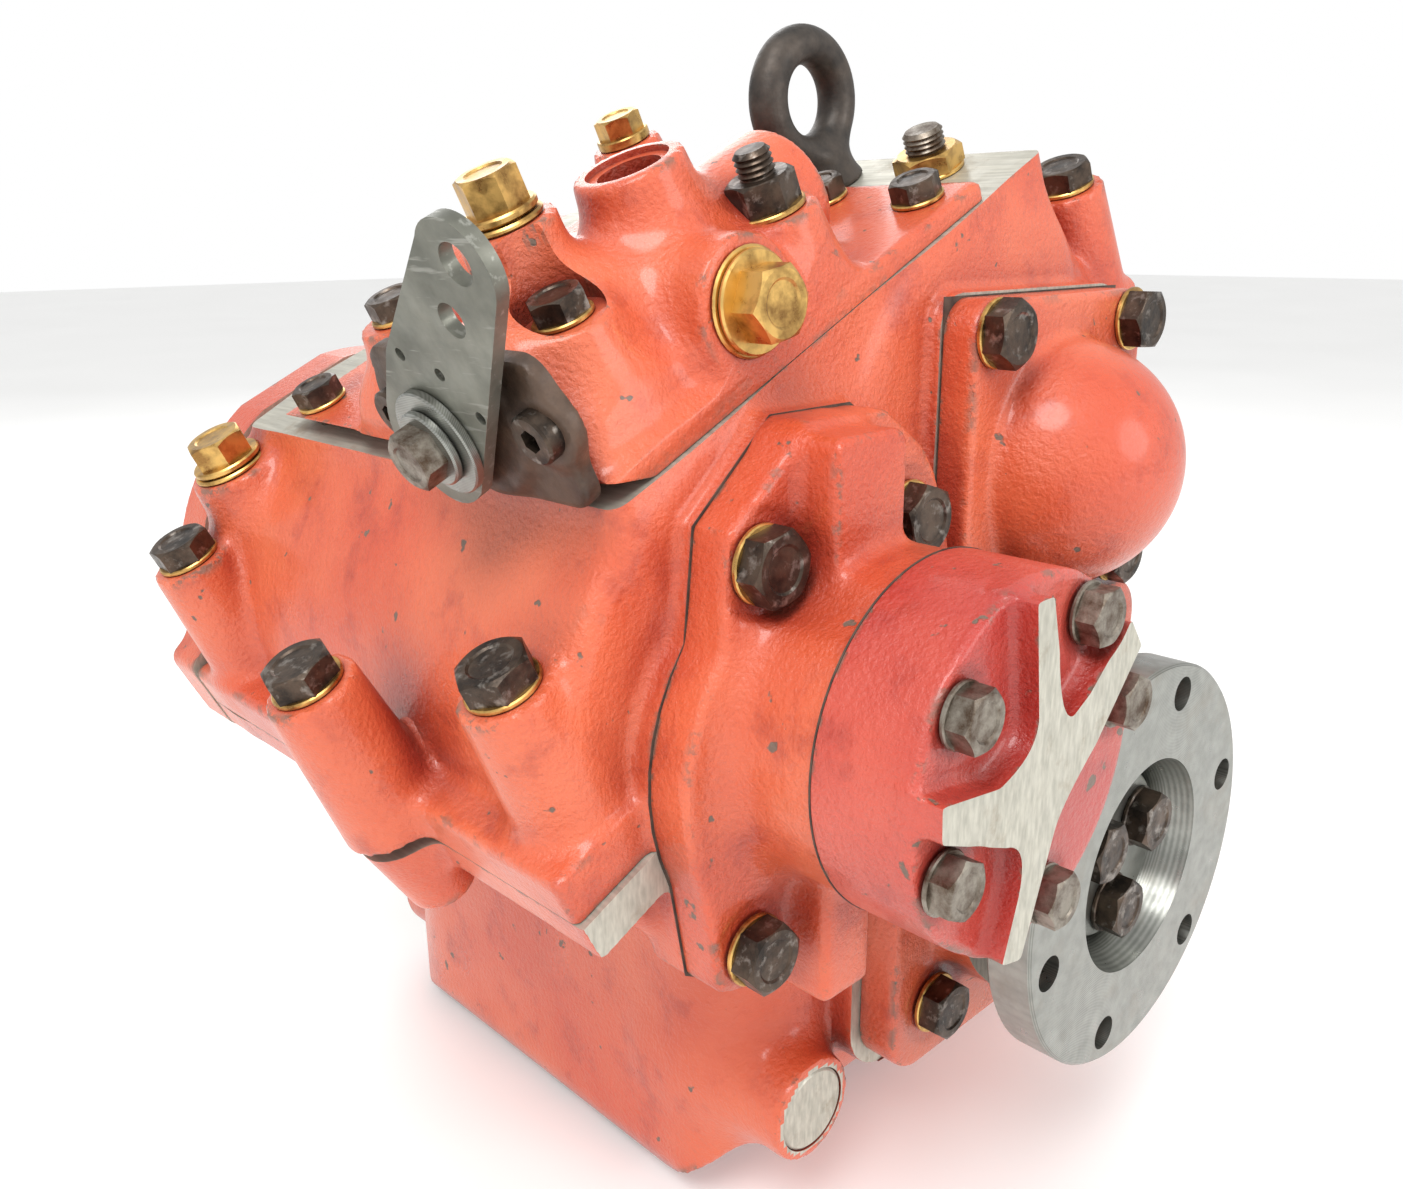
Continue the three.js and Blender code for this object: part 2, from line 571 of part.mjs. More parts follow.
// ---------------------------------------------------------------- output bearing housing
{
  const seat = PAD_FRONT - GAP;
  const clip = OUTPUT_FLANGE.hub;
  const hub = solid(rodY(OUTPUT, OUTPUT_FLANGE.hubFront, seat, clip, clip, 28));
  const pumpSide = solid(rodY(LAYSHAFT, 0, seat + 1, PUMP_R + 16, PUMP_R + 16, 32));
  const domeSide = solid(box(-60, 60, 0, seat + 1, DOME.z - DOME.half - 1.5, 200));
  const outer = join(outputFlange(OUTPUT_FLANGE.front, seat), cut(hub, pumpSide, domeSide));
  const bores = [
    solid(rodY(OUTPUT, 0, OUTPUT_FLANGE.front + 2, 36, 36, 24)),
    solid(rodY(OUTPUT, 0, 80, 38.3, 38.3, 24)).intersect(solid(box(-60, 60, 43, 90, -60, 60))),
    ...outputBolts.map((at) => holeY(at, 20, 80, M10.shank + 0.6)),
    ...outputBolts.map((at) => holeY(at, 0, OUTPUT_FLANGE.front, 11)),
  ];
  addNode('output_housing', cut(outer, ...bores), paintedIron());
}

const ring = (at, y0, y1, inner, outer, segments = 20) => turned(
  at,
  [[inner, y0], [outer, y0], [outer, y1], [inner, y1]],
  segments,
);

const blackRubber = finish(new THREE.Color(0.1, 0.1, 0.1), 0.7, 0);
addNode('output_seal', ring(OUTPUT, 30.5, 39.5, 31.8, 35.4), blackRubber);
addNode('output_bearing', ring(OUTPUT, 44.3, 62, SHAFT_R + 0.6, 37.5), machinedSteel());
const disc = rodY(STRAINER, STRAINER.front, STRAINER.front + 3 - GAP, STRAINER.r - GAP);
addNode('strainer_disc', solid(disc), machinedSteel());

// ---------------------------------------------------------------- engine-side housing
{
  const front = CASE_REAR + GAP;
  const rear = CASE_REAR + 18;
  const sump = roundedRect(SUMP.left + 8, SUMP.right - 8, SUMP.bottom + 12, 120, SUMP.corner);
  const outer = join(
    barrels(BARREL_R + 2, front, rear),
    solid(prismY(sump, front, rear, 3)),
    tiltedBox(FLANGE_LEFT, FLANGE_RIGHT - 6, front, rear, SPLIT_W - 14, SPLIT_W + 16),
  );
  const shaftHole = solid(rodY(INPUT, 0, 400, 24, 24, 16));
  const bearingPockets = [
    solid(rodY(LAYSHAFT, 0, front + 6, 20, 20, 14)),
    solid(rodY(OUTPUT, 0, front + 6, 24, 24, 14)),
  ];
  addNode('engine_housing', cut(outer, shaftHole, ...bearingPockets), paintedIron());
}

// ---------------------------------------------------------------- plugs, eyebolt and fittings
// A plug is a hexagon on a collar, drawn like a bolt.
function plugSize(across, head, collar, collarThick, shank, length) {
  return { across, head, washer: collar, washerThick: collarThick, shank, length };
}

function topFitting(name, seat, size, material, extra = []) {
  const pieces = [...hexBolt(size), ...extra].map((geometry) => {
    geometry.translate(seat.u, seat.y, seat.w);
    return solid(tilt(geometry));
  });
  addNode(name, join(...pieces), material);
}

topFitting(
  'detent_plug',
  { ...DETENT, w: DETENT.top },
  plugSize(14, 9, 10, 4, 7, 12),
  yellowBrass(),
);
topFitting(
  'breather_plug',
  { ...BREATHER, w: BREATHER.top },
  plugSize(17, 8, 12, 4, 8, 12),
  yellowBrass(),
);
topFitting(
  'oil_stud',
  { ...OIL_STUD, w: OIL_STUD.top },
  plugSize(16, 8, 10, 1.6, 5, 14),
  blackenedSteel(),
  [rodZ(0, 0, 5, 16.5, 5, 5, 14)],
);
topFitting(
  'oil_adapter',
  { ...ADAPTER, w: COVER_W },
  plugSize(19, 6, 10.5, 1.4, 6, 9),
  yellowBrass(),
  [rodZ(0, 0, 4, 14, 6.3, 6.3, 14)],
);

{
  const size = plugSize(17, 8, 13.5, 3, 8.6, 20);
  const at = level(RELIEF.u, RELIEF.w);
  const pieces = hexBolt(size).map((geometry) => {
    geometry.rotateZ(0.2);
    facingFront(geometry);
    geometry.translate(at.x, CASE_FRONT, at.z);
    return solid(geometry);
  });
  addNode('relief_plug', join(...pieces), yellowBrass());
}

{
  const torus = new THREE.TorusGeometry(EYEBOLT.ring, EYEBOLT.thick, 8, 18);
  torus.rotateX(Math.PI / 2);
  torus.translate(EYEBOLT.u, EYEBOLT.y, EYEBOLT.w);
  const pieces = [
    torus,
    rodZ(EYEBOLT.u, EYEBOLT.y, COVER_W + GAP, COVER_W + 7, 13, 9, 16),
    rodZ(EYEBOLT.u, EYEBOLT.y, COVER_W - 10, COVER_W + 1, 6, 6, 12),
  ].map((geometry) => solid(tilt(geometry)));
  addNode('eyebolt', join(...pieces), blackenedSteel());
}

// ---------------------------------------------------------------- bolts
const namedBolts = (name, bolts, place) => {
  bolts.forEach((at, i) => place(`${name}_${i + 1}`, at, i * 0.35));
};
namedBolts('pump_flange_bolt', pumpFlangeBolts, (name, at, spin) => {
  frontBolt(name, at, PUMP_FLANGE_FRONT, M10, spin);
});
namedBolts('output_housing_bolt', outputBolts, (name, at, spin) => {
  frontBolt(name, at, OUTPUT_FLANGE.front, M10, spin);
});
namedBolts('dome_bolt', domeBolts, (name, at, spin) => frontBolt(name, at, DOME.front, M10, spin));
namedBolts('pump_cover_bolt', pumpCoverBolts, (name, at, spin) => {
  frontBolt(name, at, PUMP_RIM, M8, spin);
});
namedBolts('case_bolt', caseBolts, (name, seat, spin) => topBolt(name, seat, M10, spin));
namedBolts('top_cover_bolt', topCoverBolts, (name, seat, spin) => topBolt(name, seat, M8, spin));

// ---------------------------------------------------------------- gears
const GEAR_PLANE = { front: 96, rear: 126 };
const DRUM_PLANE = { front: 196, rear: 216 };
const DRUM = { front: 134, rear: 196, r: 50, inner: 45 };

// Straight-sided teeth, thin enough to run with backlash; one tooth is centred on the angle phase.
function gearShape(teeth, module, phase) {
  const pitch = teeth * module / 2;
  const root = pitch - 1.2 * module;
  const tip = pitch + 0.8 * module;
  const step = 2 * Math.PI / teeth;
  const points = [];
  for (let i = 0; i < teeth; i += 1) {
    const centre = phase + i * step;
    for (const [radius, share] of [[root, -0.33], [tip, -0.12], [tip, 0.12], [root, 0.33]]) {
      const angle = centre + share * step;
      points.push(new THREE.Vector2(radius * Math.cos(angle), radius * Math.sin(angle)));
    }
  }
  return new THREE.Shape(points);
}

function gear(at, teeth, module, phase, y0, y1) {
  const geometry = prismY(gearShape(teeth, module, phase), y0, y1);
  geometry.translate(at.x, 0, at.z);
  return solid(geometry);
}

// Phase that puts the second gear's gap opposite the first gear's tooth.
function meshPhase(first, firstTeeth, firstPhase, second, secondTeeth) {
  const toSecond = Math.atan2(second.z - first.z, second.x - first.x);
  const halfPitch = Math.PI / firstTeeth;
  const travel = (firstPhase - toSecond) + halfPitch;
  return toSecond + Math.PI - travel * firstTeeth / secondTeeth;
}

const bullPhase = Math.PI / 2;
const forwardPhase = meshPhase(OUTPUT, BULL_TEETH, bullPhase, INPUT, PINION_TEETH);
const reversePhase = meshPhase(OUTPUT, BULL_TEETH, bullPhase, LAYSHAFT, PINION_TEETH);
const forwardDrumPhase = 0;
const reverseDrumPhase = meshPhase(INPUT, DRUM_TEETH, forwardDrumPhase, LAYSHAFT, DRUM_TEETH);
const pumpDrivePhase = 0;
const pumpIdlerPhase = meshPhase(LAYSHAFT, PUMP_TEETH, pumpDrivePhase, PUMP_IDLER, PUMP_TEETH);

const CORE_R = 16; // clutch shafts
const RETAINER = { front: 10.5, r: 27, pitch: 16.4 }; // plate that holds the coupling on
const retainerBolts = [30, 150, 270].map((degrees) => {
  const angle = THREE.MathUtils.degToRad(degrees);
  return { x: RETAINER.pitch * Math.cos(angle), z: RETAINER.pitch * Math.sin(angle) };
});

{
  const { front, rear } = GEAR_PLANE;
  const wheel = gear(OUTPUT, BULL_TEETH, MODULE, bullPhase, front, rear);
  const waists = [[front - 1, front + 9], [rear - 9, rear + 1]].map(([y0, y1]) => (
    ring(OUTPUT, y0, y1, 34, 64, 14)
  ));
  const bore = solid(rodY(OUTPUT, 0, 300, SHAFT_R + 2.3));
  addNode('bull_gear', cut(wheel, ...waists, bore), machinedSteel());

  const shaft = turned(OUTPUT, [
    [0, 20], [SHAFT_R - GAP, 20], [SHAFT_R - GAP, 90], [SHAFT_R + 2, 90],
    [SHAFT_R + 2, 130], [SHAFT_R - 2, 130], [SHAFT_R - 2, CASE_REAR + 4], [0, CASE_REAR + 4],
  ]);
  const tapped = retainerBolts.map((at) => holeY(at, 0, 36, M10.shank + 0.6));
  addNode('output_shaft', cut(shaft, ...tapped), machinedSteel());
}

{
  const body = turned(OUTPUT, [
    [RECESS_R, 0], [COUPLING_R - 1, 0], [COUPLING_R, 1], [COUPLING_R, COUPLING_RIM],
    [36, COUPLING_RIM], [30.7, 20], [30.7, 43.5], [SHAFT_R + 0.1, 43.5],
    [SHAFT_R + 0.1, RECESS_DEPTH], [RECESS_R - 5, RECESS_DEPTH - 1], [RECESS_R - 5, 13],
    [RECESS_R - 2, 8],
  ], 32);
  const holes = Array.from({ length: 6 }, (_, i) => {
    const angle = COUPLING_PHASE + i * Math.PI / 3;
    const r = COUPLING_PCD / 2;
    return holeY({ x: r * Math.sin(angle), z: r * Math.cos(angle) }, -5, 30, COUPLING_HOLE_R);
  });
  addNode('output_coupling', cut(body, ...holes), machinedSteel());

  const plate = ring(OUTPUT, RETAINER.front, RECESS_DEPTH - 1 - GAP, 3, RETAINER.r);
  const drillings = retainerBolts.map((at) => holeY(at, 0, 36, M10.shank + 0.6));
  addNode('coupling_retainer', cut(plate, ...drillings), machinedSteel());
  namedBolts('coupling_bolt', retainerBolts, (name, at, spin) => {
    frontBolt(name, at, RETAINER.front, { ...M10, washer: 9.4 }, spin);
  });
}

// One clutch shaft: a drum gear turns with the shaft and a pinion runs free on it.
function drumPiece(name, at, phase) {
  const { front, rear, r, inner } = DRUM;
  const cup = turned(at, [
    [CORE_R + GAP, rear - 6], [inner, rear - 6], [inner, front], [r, front],
    [r, rear + 1], [CORE_R + GAP, rear + 1],
  ], 18);
  const teeth = gear(at, DRUM_TEETH, MODULE, phase, rear, DRUM_PLANE.rear);
  const bore = solid(rodY(at, 0, 300, CORE_R + GAP));
  addNode(name, cut(join(cup, teeth), bore), machinedSteel());
}

function pinionPiece(name, at, phase) {
  const teeth = gear(at, PINION_TEETH, MODULE, phase, GEAR_PLANE.front, GEAR_PLANE.rear);
  const hub = solid(rodY(at, GEAR_PLANE.rear - 1, DRUM.rear - 12, 24));
  const bore = solid(rodY(at, 0, 300, CORE_R + 1));
  addNode(name, cut(join(teeth, hub), bore), machinedSteel());
}

function plateStack(name, at) {
  const profile = [[26, DRUM.front + 4]];
  for (let y = DRUM.front + 4; y < DRUM.rear - 20; y += 14) {
    profile.push([44, y], [44, y + 7], [38, y + 7], [38, y + 14]);
  }
  profile.push([26, profile[profile.length - 1][1]]);
  addNode(name, turned(at, profile, 14), machinedSteel());
}

drumPiece('forward_drum', INPUT, forwardDrumPhase);
drumPiece('reverse_drum', LAYSHAFT, reverseDrumPhase);
pinionPiece('forward_pinion', INPUT, forwardPhase);
pinionPiece('reverse_pinion', LAYSHAFT, reversePhase);
plateStack('forward_plates', INPUT);
plateStack('reverse_plates', LAYSHAFT);

{
  const shaft = turned(INPUT, [
    [0, 58], [12, 58], [12, 80], [CORE_R, 80], [CORE_R, 230], [15, 230], [15, 296], [0, 296],
  ]);
  const spline = Array.from({ length: 10 }, (_, i) => {
    const key = box(13, 18, 284, 300, -1.6, 1.6);
    key.rotateY(i * Math.PI / 5);
    key.translate(INPUT.x, 0, INPUT.z);
    return solid(key);
  });
  addNode('input_shaft', cut(shaft, ...spline), machinedSteel());
}

{
  const shaft = turned(LAYSHAFT, [
    [0, PUMP_GEARS.rear - 1], [8, PUMP_GEARS.rear - 1], [8, 13], [10, 13],
    [10, 80], [CORE_R, 80],
    [CORE_R, 230], [15, 230], [15, CASE_REAR + 4], [0, CASE_REAR + 4],
  ]);
  const { front, rear } = PUMP_GEARS;
  const drive = gear(LAYSHAFT, PUMP_TEETH, PUMP_MODULE, pumpDrivePhase, front, rear);
  addNode('layshaft', join(shaft, drive), machinedSteel());
}

{
  const { front, rear } = PUMP_GEARS;
  const wheel = gear(PUMP_IDLER, PUMP_TEETH, PUMP_MODULE, pumpIdlerPhase, front, rear);
  const pin = solid(rodY(PUMP_IDLER, front - 5, front + 1, 4, 4, 12));
  addNode('pump_idler', join(wheel, pin), machinedSteel());
}

// ---------------------------------------------------------------- selector
const LEVER = { outer: -95.5, inner: -92, lean: THREE.MathUtils.degToRad(41.8), tip: 11, reach: 57 };
const CABLE_HOLES = [{ along: 59, r: 4.6 }, { along: 42.5, r: 4 }];

// The lever is drawn upright in (y, w) about its pivot, then leaned towards the front.
{
  const { outer, inner, lean, tip, reach } = LEVER;
  const shape = new THREE.Shape();
  shape.moveTo(-13, -8);
  shape.quadraticCurveTo(-10, -23, 3, -23);
  shape.quadraticCurveTo(18, -23, 19, -6);
  shape.lineTo(19, 14);
  shape.lineTo(tip, reach);
  shape.absarc(0, reach, tip, 0, Math.PI);
  const options = { depth: inner - outer, bevelEnabled: false, curveSegments: 8 };
  const plate = new THREE.ExtrudeGeometry(shape, options);
  const pinHoles = CABLE_HOLES.map(({ along, r }) => {
    const hole = new THREE.CylinderGeometry(r, r, 20, 12);
    hole.rotateX(Math.PI / 2);
    hole.translate(0, along, 0);
    return hole;
  });
  const pivotHole = new THREE.CylinderGeometry(6.4, 6.4, 20, 16);
  pivotHole.rotateX(Math.PI / 2);
  const place = (geometry) => {
    geometry.applyMatrix4(SIDE_PLANE);
    geometry.rotateX(lean);
    geometry.translate(outer, SELECTOR.y, SELECTOR.w);
    return solid(tilt(geometry));
  };
  const made = cut(place(plate), place(pivotHole), ...pinHoles.map(place));
  addNode('selector_lever', made, finish(new THREE.Color(0.42, 0.42, 0.38), 0.45, 0.8));
}

{
  const { outer, inner } = LEVER;
  const washer = { r: 13.5, thick: 5 };
  const cornerR = M8.across / Math.sqrt(3);
  const bolt = new THREE.CylinderGeometry(cornerR, cornerR, M8.head + 1, 6);
  bolt.rotateZ(Math.PI / 2);
  bolt.translate(outer - washer.thick - M8.head / 2, SELECTOR.y, SELECTOR.w);
  const profile = [
    [0, outer - washer.thick], [washer.r, outer - washer.thick], [washer.r, outer - GAP],
    [6, outer - GAP], [6, inner + GAP], [7.4, inner + GAP], [7.4, -42], [0, -42],
  ];
  const shaft = new THREE.LatheGeometry(profile.map(([r, u]) => new THREE.Vector2(r, u)), 16);
  shaft.rotateZ(-Math.PI / 2);
  shaft.translate(0, SELECTOR.y, SELECTOR.w);
  const pieces = [bolt, shaft].map((geometry) => solid(tilt(geometry)));
  addNode('selector_shaft', join(...pieces), machinedSteel());
}

// ---------------------------------------------------------------- origin at the bottom centre
const bounds = new THREE.Box3().setFromObject(group);
const centre = bounds.getCenter(new THREE.Vector3());
group.position.set(-centre.x, -centre.y, -bounds.min.z);
group.updateMatrixWorld(true);

export default group;
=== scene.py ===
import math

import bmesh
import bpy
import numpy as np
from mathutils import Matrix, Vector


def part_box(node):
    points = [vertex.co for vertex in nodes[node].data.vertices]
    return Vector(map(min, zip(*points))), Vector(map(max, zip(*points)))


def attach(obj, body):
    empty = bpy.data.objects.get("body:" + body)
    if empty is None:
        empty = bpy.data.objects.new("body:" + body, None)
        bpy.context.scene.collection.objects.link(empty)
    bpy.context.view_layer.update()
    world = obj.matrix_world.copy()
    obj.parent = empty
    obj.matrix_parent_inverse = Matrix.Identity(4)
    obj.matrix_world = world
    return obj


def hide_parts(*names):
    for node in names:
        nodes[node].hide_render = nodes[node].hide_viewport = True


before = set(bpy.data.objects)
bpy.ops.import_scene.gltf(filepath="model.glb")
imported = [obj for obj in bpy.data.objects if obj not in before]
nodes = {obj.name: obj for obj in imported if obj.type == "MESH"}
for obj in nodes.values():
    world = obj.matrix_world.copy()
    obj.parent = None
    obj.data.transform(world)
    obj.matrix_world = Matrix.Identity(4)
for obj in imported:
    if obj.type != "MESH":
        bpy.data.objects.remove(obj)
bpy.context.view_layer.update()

# Marine reversing gearbox in orange-red enamel. Castings are grown from smooth distance fields,
# then machined with sharp cuts; fasteners, plugs and turned parts are meshed directly.
# Shapes are written in millimetres in the design frame of the CAD source: the origin is on the
# output axis at the coupling's front face. Tilted coordinates are (u, y, w): u runs up to the
# right along the joint plane of the case, and w points away from it.

import openvdb
from mathutils import Matrix, Vector

scene = bpy.context.scene

# ---------------------------------------------------------------- driving dimensions
MM = 0.001
INCLINE = math.radians(26)
COS, SIN = math.cos(INCLINE), math.sin(INCLINE)
GAP = 0.3
SHAFT_U = 54.0
SPLIT_W = math.sqrt(115.5 ** 2 - SHAFT_U ** 2)
FLANGE_TOP, FLANGE_LOW = SPLIT_W + 14, SPLIT_W - 12
CASE_FRONT, CASE_REAR, PAD_FRONT = 62.0, 262.0, 55.0
COVER_W = 180.0
BARREL_R, WALL = 76.0, 8.0
PUMP_R, PUMP_FACE, PUMP_RIM, PUMP_JOINT = 46.0, -19.5, -13.0, 14.5
SEAT = PAD_FRONT - GAP  # rear face of the front covers
VOXEL = 1.5


def level(u, w):
    """Design-frame (x, z) of a point in tilted coordinates."""
    return u * COS - w * SIN, u * SIN + w * COS


LAYSHAFT = level(-SHAFT_U, SPLIT_W)
INPUT = level(SHAFT_U, SPLIT_W)
OUTPUT = (0.0, 0.0)

low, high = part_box("output_coupling")
ORIGIN = Vector(((low.x + high.x) / 2, low.y, (low.z + high.z) / 2))
TILT = Matrix.Rotation(-INCLINE, 3, "Y")


def tilted_extent(name):
    """Lowest and highest corners of a CAD node in tilted coordinates, in millimetres."""
    turn = TILT.inverted()
    points = [turn @ ((v.co - ORIGIN) / MM) for v in nodes[name].data.vertices]
    corners = zip(*points)
    return [(min(values), max(values)) for values in corners]


def design_extent(name):
    corner_a, corner_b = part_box(name)
    a, b = (corner_a - ORIGIN) / MM, (corner_b - ORIGIN) / MM
    return [(a[i], b[i]) for i in range(3)]


# ---------------------------------------------------------------- distance fields
class Grid:
    """Sample points of a box; each axis keeps its own short array, so products stay cheap."""

    def __init__(self, low_corner, high_corner, step):
        self.step = step
        self.low = np.array(low_corner, float)
        counts = np.ceil((np.array(high_corner) - self.low) / step).astype(int) + 1
        axes = [self.low[i] + step * np.arange(counts[i]) for i in range(3)]
        self.x = axes[0][:, None, None].astype(np.float32)
        self.y = axes[1][None, :, None].astype(np.float32)
        self.z = axes[2][None, None, :].astype(np.float32)
        self.u = self.x * COS + self.z * SIN
        self.w = self.z * COS - self.x * SIN

    def surface(self, field):
        """Vertices in millimetres and quads of the field's zero level."""
        full = np.broadcast_to(field, np.broadcast_shapes(
            self.x.shape, self.y.shape, self.z.shape)).astype(np.float32)
        full = np.ascontiguousarray(np.clip(full, -4 * self.step, 4 * self.step))
        grid = openvdb.FloatGrid(4 * self.step)
        grid.copyFromArray(full)
        points, _, quads = grid.convertToPolygons(isovalue=0.0, adaptivity=0.0)
        return self.low + points * self.step, quads


def blend_in(a, b, radius):
    """Union of two fields with a fillet."""
    share = np.maximum(radius - np.abs(a - b), 0) / radius
    return np.minimum(a, b) - share * share * radius / 4


def carve(a, b, radius):
    """Field a without field b, with a rounded edge."""
    return -blend_in(-a, b, radius)


def rect(p, q, p0, p1, q0, q1, corner=0.0):
    """Flat distance to a rectangle with rounded corners."""
    dp = np.abs(p - (p0 + p1) / 2) - (p1 - p0) / 2 + corner
    dq = np.abs(q - (q0 + q1) / 2) - (q1 - q0) / 2 + corner
    outside = np.hypot(np.maximum(dp, 0), np.maximum(dq, 0))
    return outside + np.minimum(np.maximum(dp, dq), 0) - corner


def extrude(flat, along, a0, a1, edge=1.5):
    """Thickens a flat distance between two levels, with rounded edges."""
    d = flat + edge
    e = np.abs(along - (a0 + a1) / 2) - (a1 - a0) / 2 + edge
    outside = np.hypot(np.maximum(d, 0), np.maximum(e, 0))
    return outside + np.minimum(np.maximum(d, e), 0) - edge


def round_y(g, at, y0, y1, radius, edge=1.5):
    return extrude(np.hypot(g.x - at[0], g.z - at[1]) - radius, g.y, y0, y1, edge)


def post(g, u, y, w0, w1, r0, r1, edge):
    """Tapered boss along w."""
    share = np.clip((g.w - w0) / (w1 - w0), 0, 1)
    return extrude(np.hypot(g.u - u, g.y - y) - (r0 + (r1 - r0) * share), g.w, w0, w1, edge)


def block(g, u0, u1, y0, y1, w0, w1, corner=2.0, edge=2.0):
    """Tilted box, rounded."""
    return extrude(rect(g.u, g.w, u0, u1, w0, w1, corner), g.y, y0, y1, edge)


def outline(start, *steps):
    """Points of a closed outline; a step is a corner (x, z) or a curve (cx, cz, x, z)."""
    points = [start]
    for step in steps:
        if len(step) == 2:
            points.append(step)
            continue
        ax, az = points[-1]
        cx, cz, bx, bz = step
        for i in range(1, 9):
            t = i / 8
            points.append((
                (1 - t) ** 2 * ax + 2 * t * (1 - t) * cx + t * t * bx,
                (1 - t) ** 2 * az + 2 * t * (1 - t) * cz + t * t * bz,
            ))
    return points


def polygon(g, points):
    """Flat distance in the XZ plane to a closed outline."""
    px, pz = g.x, g.z
    nearest = np.full(np.broadcast_shapes(px.shape, pz.shape), 1e9, np.float32)
    sign = np.ones_like(nearest)
    for (ax, az), (bx, bz) in zip(points, points[1:] + points[:1]):
        ex, ez = bx - ax, bz - az
        wx, wz = px - ax, pz - az
        share = np.clip((wx * ex + wz * ez) / (ex * ex + ez * ez), 0, 1)
        nearest = np.minimum(nearest, (wx - ex * share) ** 2 + (wz - ez * share) ** 2)
        above, below, left = pz >= az, pz < bz, ex * wz > ez * wx
        flip = (above & below & left) | (~above & ~below & ~left)
        sign = np.where(flip, -sign, sign)
    return sign * np.sqrt(nearest)


# ---------------------------------------------------------------- meshes
def new_object(name, points, faces):
    """Object from points in millimetres in the design frame."""
    mesh = bpy.data.meshes.new(name)
    co = np.asarray(points, float).reshape(-1, 3) * MM + np.array(ORIGIN)
    mesh.from_pydata(co.tolist(), [], [tuple(face) for face in faces])
    obj = bpy.data.objects.new(name, mesh)
    scene.collection.objects.link(obj)
    bm = bmesh.new()
    bm.from_mesh(mesh)
    bmesh.ops.recalc_face_normals(bm, faces=bm.faces)
    bm.to_mesh(mesh)
    bm.free()
    return obj


def cast(name, g, field):
    return new_object(name, *g.surface(field))


def prism_solid(points, y0, y1):
    """Sharp prism of an XZ outline, as (points, faces)."""
    n = len(points)
    front = [(x, y0, z) for x, z in points]
    rear = [(x, y1, z) for x, z in points]
    sides = [(i, (i + 1) % n, n + (i + 1) % n, n + i) for i in range(n)]
    return front + rear, sides + [tuple(range(n)), tuple(range(2 * n - 1, n - 1, -1))]


def circle(at, radius, count=48):
    turns = [i * (2 * math.pi / count) for i in range(count)]
    return [(at[0] + radius * math.cos(a), at[1] + radius * math.sin(a)) for a in turns]


def box_solid(x0, x1, y0, y1, z0, z1):
    return prism_solid([(x0, z0), (x1, z0), (x1, z1), (x0, z1)], y0, y1)


def tilted(made):
    points, faces = made
    return [tuple(TILT @ Vector(p)) for p in points], faces


def post_solid(u, y, w0, w1, radius, count=32):
    """Sharp cylinder along w."""
    points, faces = prism_solid(circle((u, 0), radius, count), w0, w1)
    upright = [(x, y + across, w) for x, w, across in points]
    return tilted((upright, faces))


def machine(obj, cuts):
    """Applies sharp cuts in turn."""
    for made in cuts:
        tool = new_object("cutter", *made)
        step = obj.modifiers.new("cut", "BOOLEAN")
        step.operation = "DIFFERENCE"
        step.object = tool
        step.solver = "MANIFOLD"
        graph = bpy.context.evaluated_depsgraph_get()
        mesh = bpy.data.meshes.new_from_object(obj.evaluated_get(graph))
        obj.modifiers.clear()
        old = obj.data
        obj.data = mesh
        bpy.data.meshes.remove(old)
        bpy.data.objects.remove(tool)


def finish_piece(obj, body, replaced, slot, *materials, angle=35):
    """Smooth shading, materials and the frame's bookkeeping."""
    mesh = obj.data
    slots = np.zeros(len(mesh.polygons), np.int32)
    mesh.polygons.foreach_get("material_index", slots)
    mesh.materials.clear()
    for made in materials:
        mesh.materials.append(made)
    mesh.polygons.foreach_set("material_index", slots)
    mesh.polygons.foreach_set("use_smooth", [True] * len(mesh.polygons))
    bm = bmesh.new()
    bm.from_mesh(mesh)
    limit = math.radians(angle)
    for edge in bm.edges:
        edge.smooth = len(edge.link_faces) == 2 and edge.calc_face_angle(0) < limit
    bm.to_mesh(mesh)
    bm.free()
    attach(obj, body)
    if replaced:
        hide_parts(*replaced)
    return obj


def face_slots(obj, planes):
    """Gives the faces that lie in the named planes the second material."""
    mesh = obj.data
    normals = np.zeros(len(mesh.polygons) * 3, np.float32)
    centres = np.zeros(len(mesh.polygons) * 3, np.float32)
    mesh.polygons.foreach_get("normal", normals)
    mesh.polygons.foreach_get("center", centres)
    normals, centres = normals.reshape(-1, 3), (centres.reshape(-1, 3) - np.array(ORIGIN)) / MM
    chosen = np.zeros(len(mesh.polygons), int)
    for normal, distance in planes:
        facing = normals @ np.array(normal) > 0.999
        near = np.abs(centres @ np.array(normal) - distance) < 0.1
        chosen[facing & near] = 1
    mesh.polygons.foreach_set("material_index", chosen)


UP_W = tuple(TILT @ Vector((0, 0, 1)))
DOWN_W = tuple(-c for c in UP_W)
FRONT = (0, -1, 0)
REAR = (0, 1, 0)

# ---------------------------------------------------------------- materials
def material(name, build, metallic=0.0):
    """Node material whose builder is given a small helper for wiring."""
    made = bpy.data.materials.new(name)
    made.use_nodes = True
    made.node_tree.nodes.clear()
    wires = Wires(made.node_tree)
    shader = wires.add("ShaderNodeBsdfPrincipled", Metallic=metallic)
    output = wires.add("ShaderNodeOutputMaterial")
    wires.link(shader.outputs["BSDF"], output.inputs["Surface"])
    build(wires, shader)
    return made


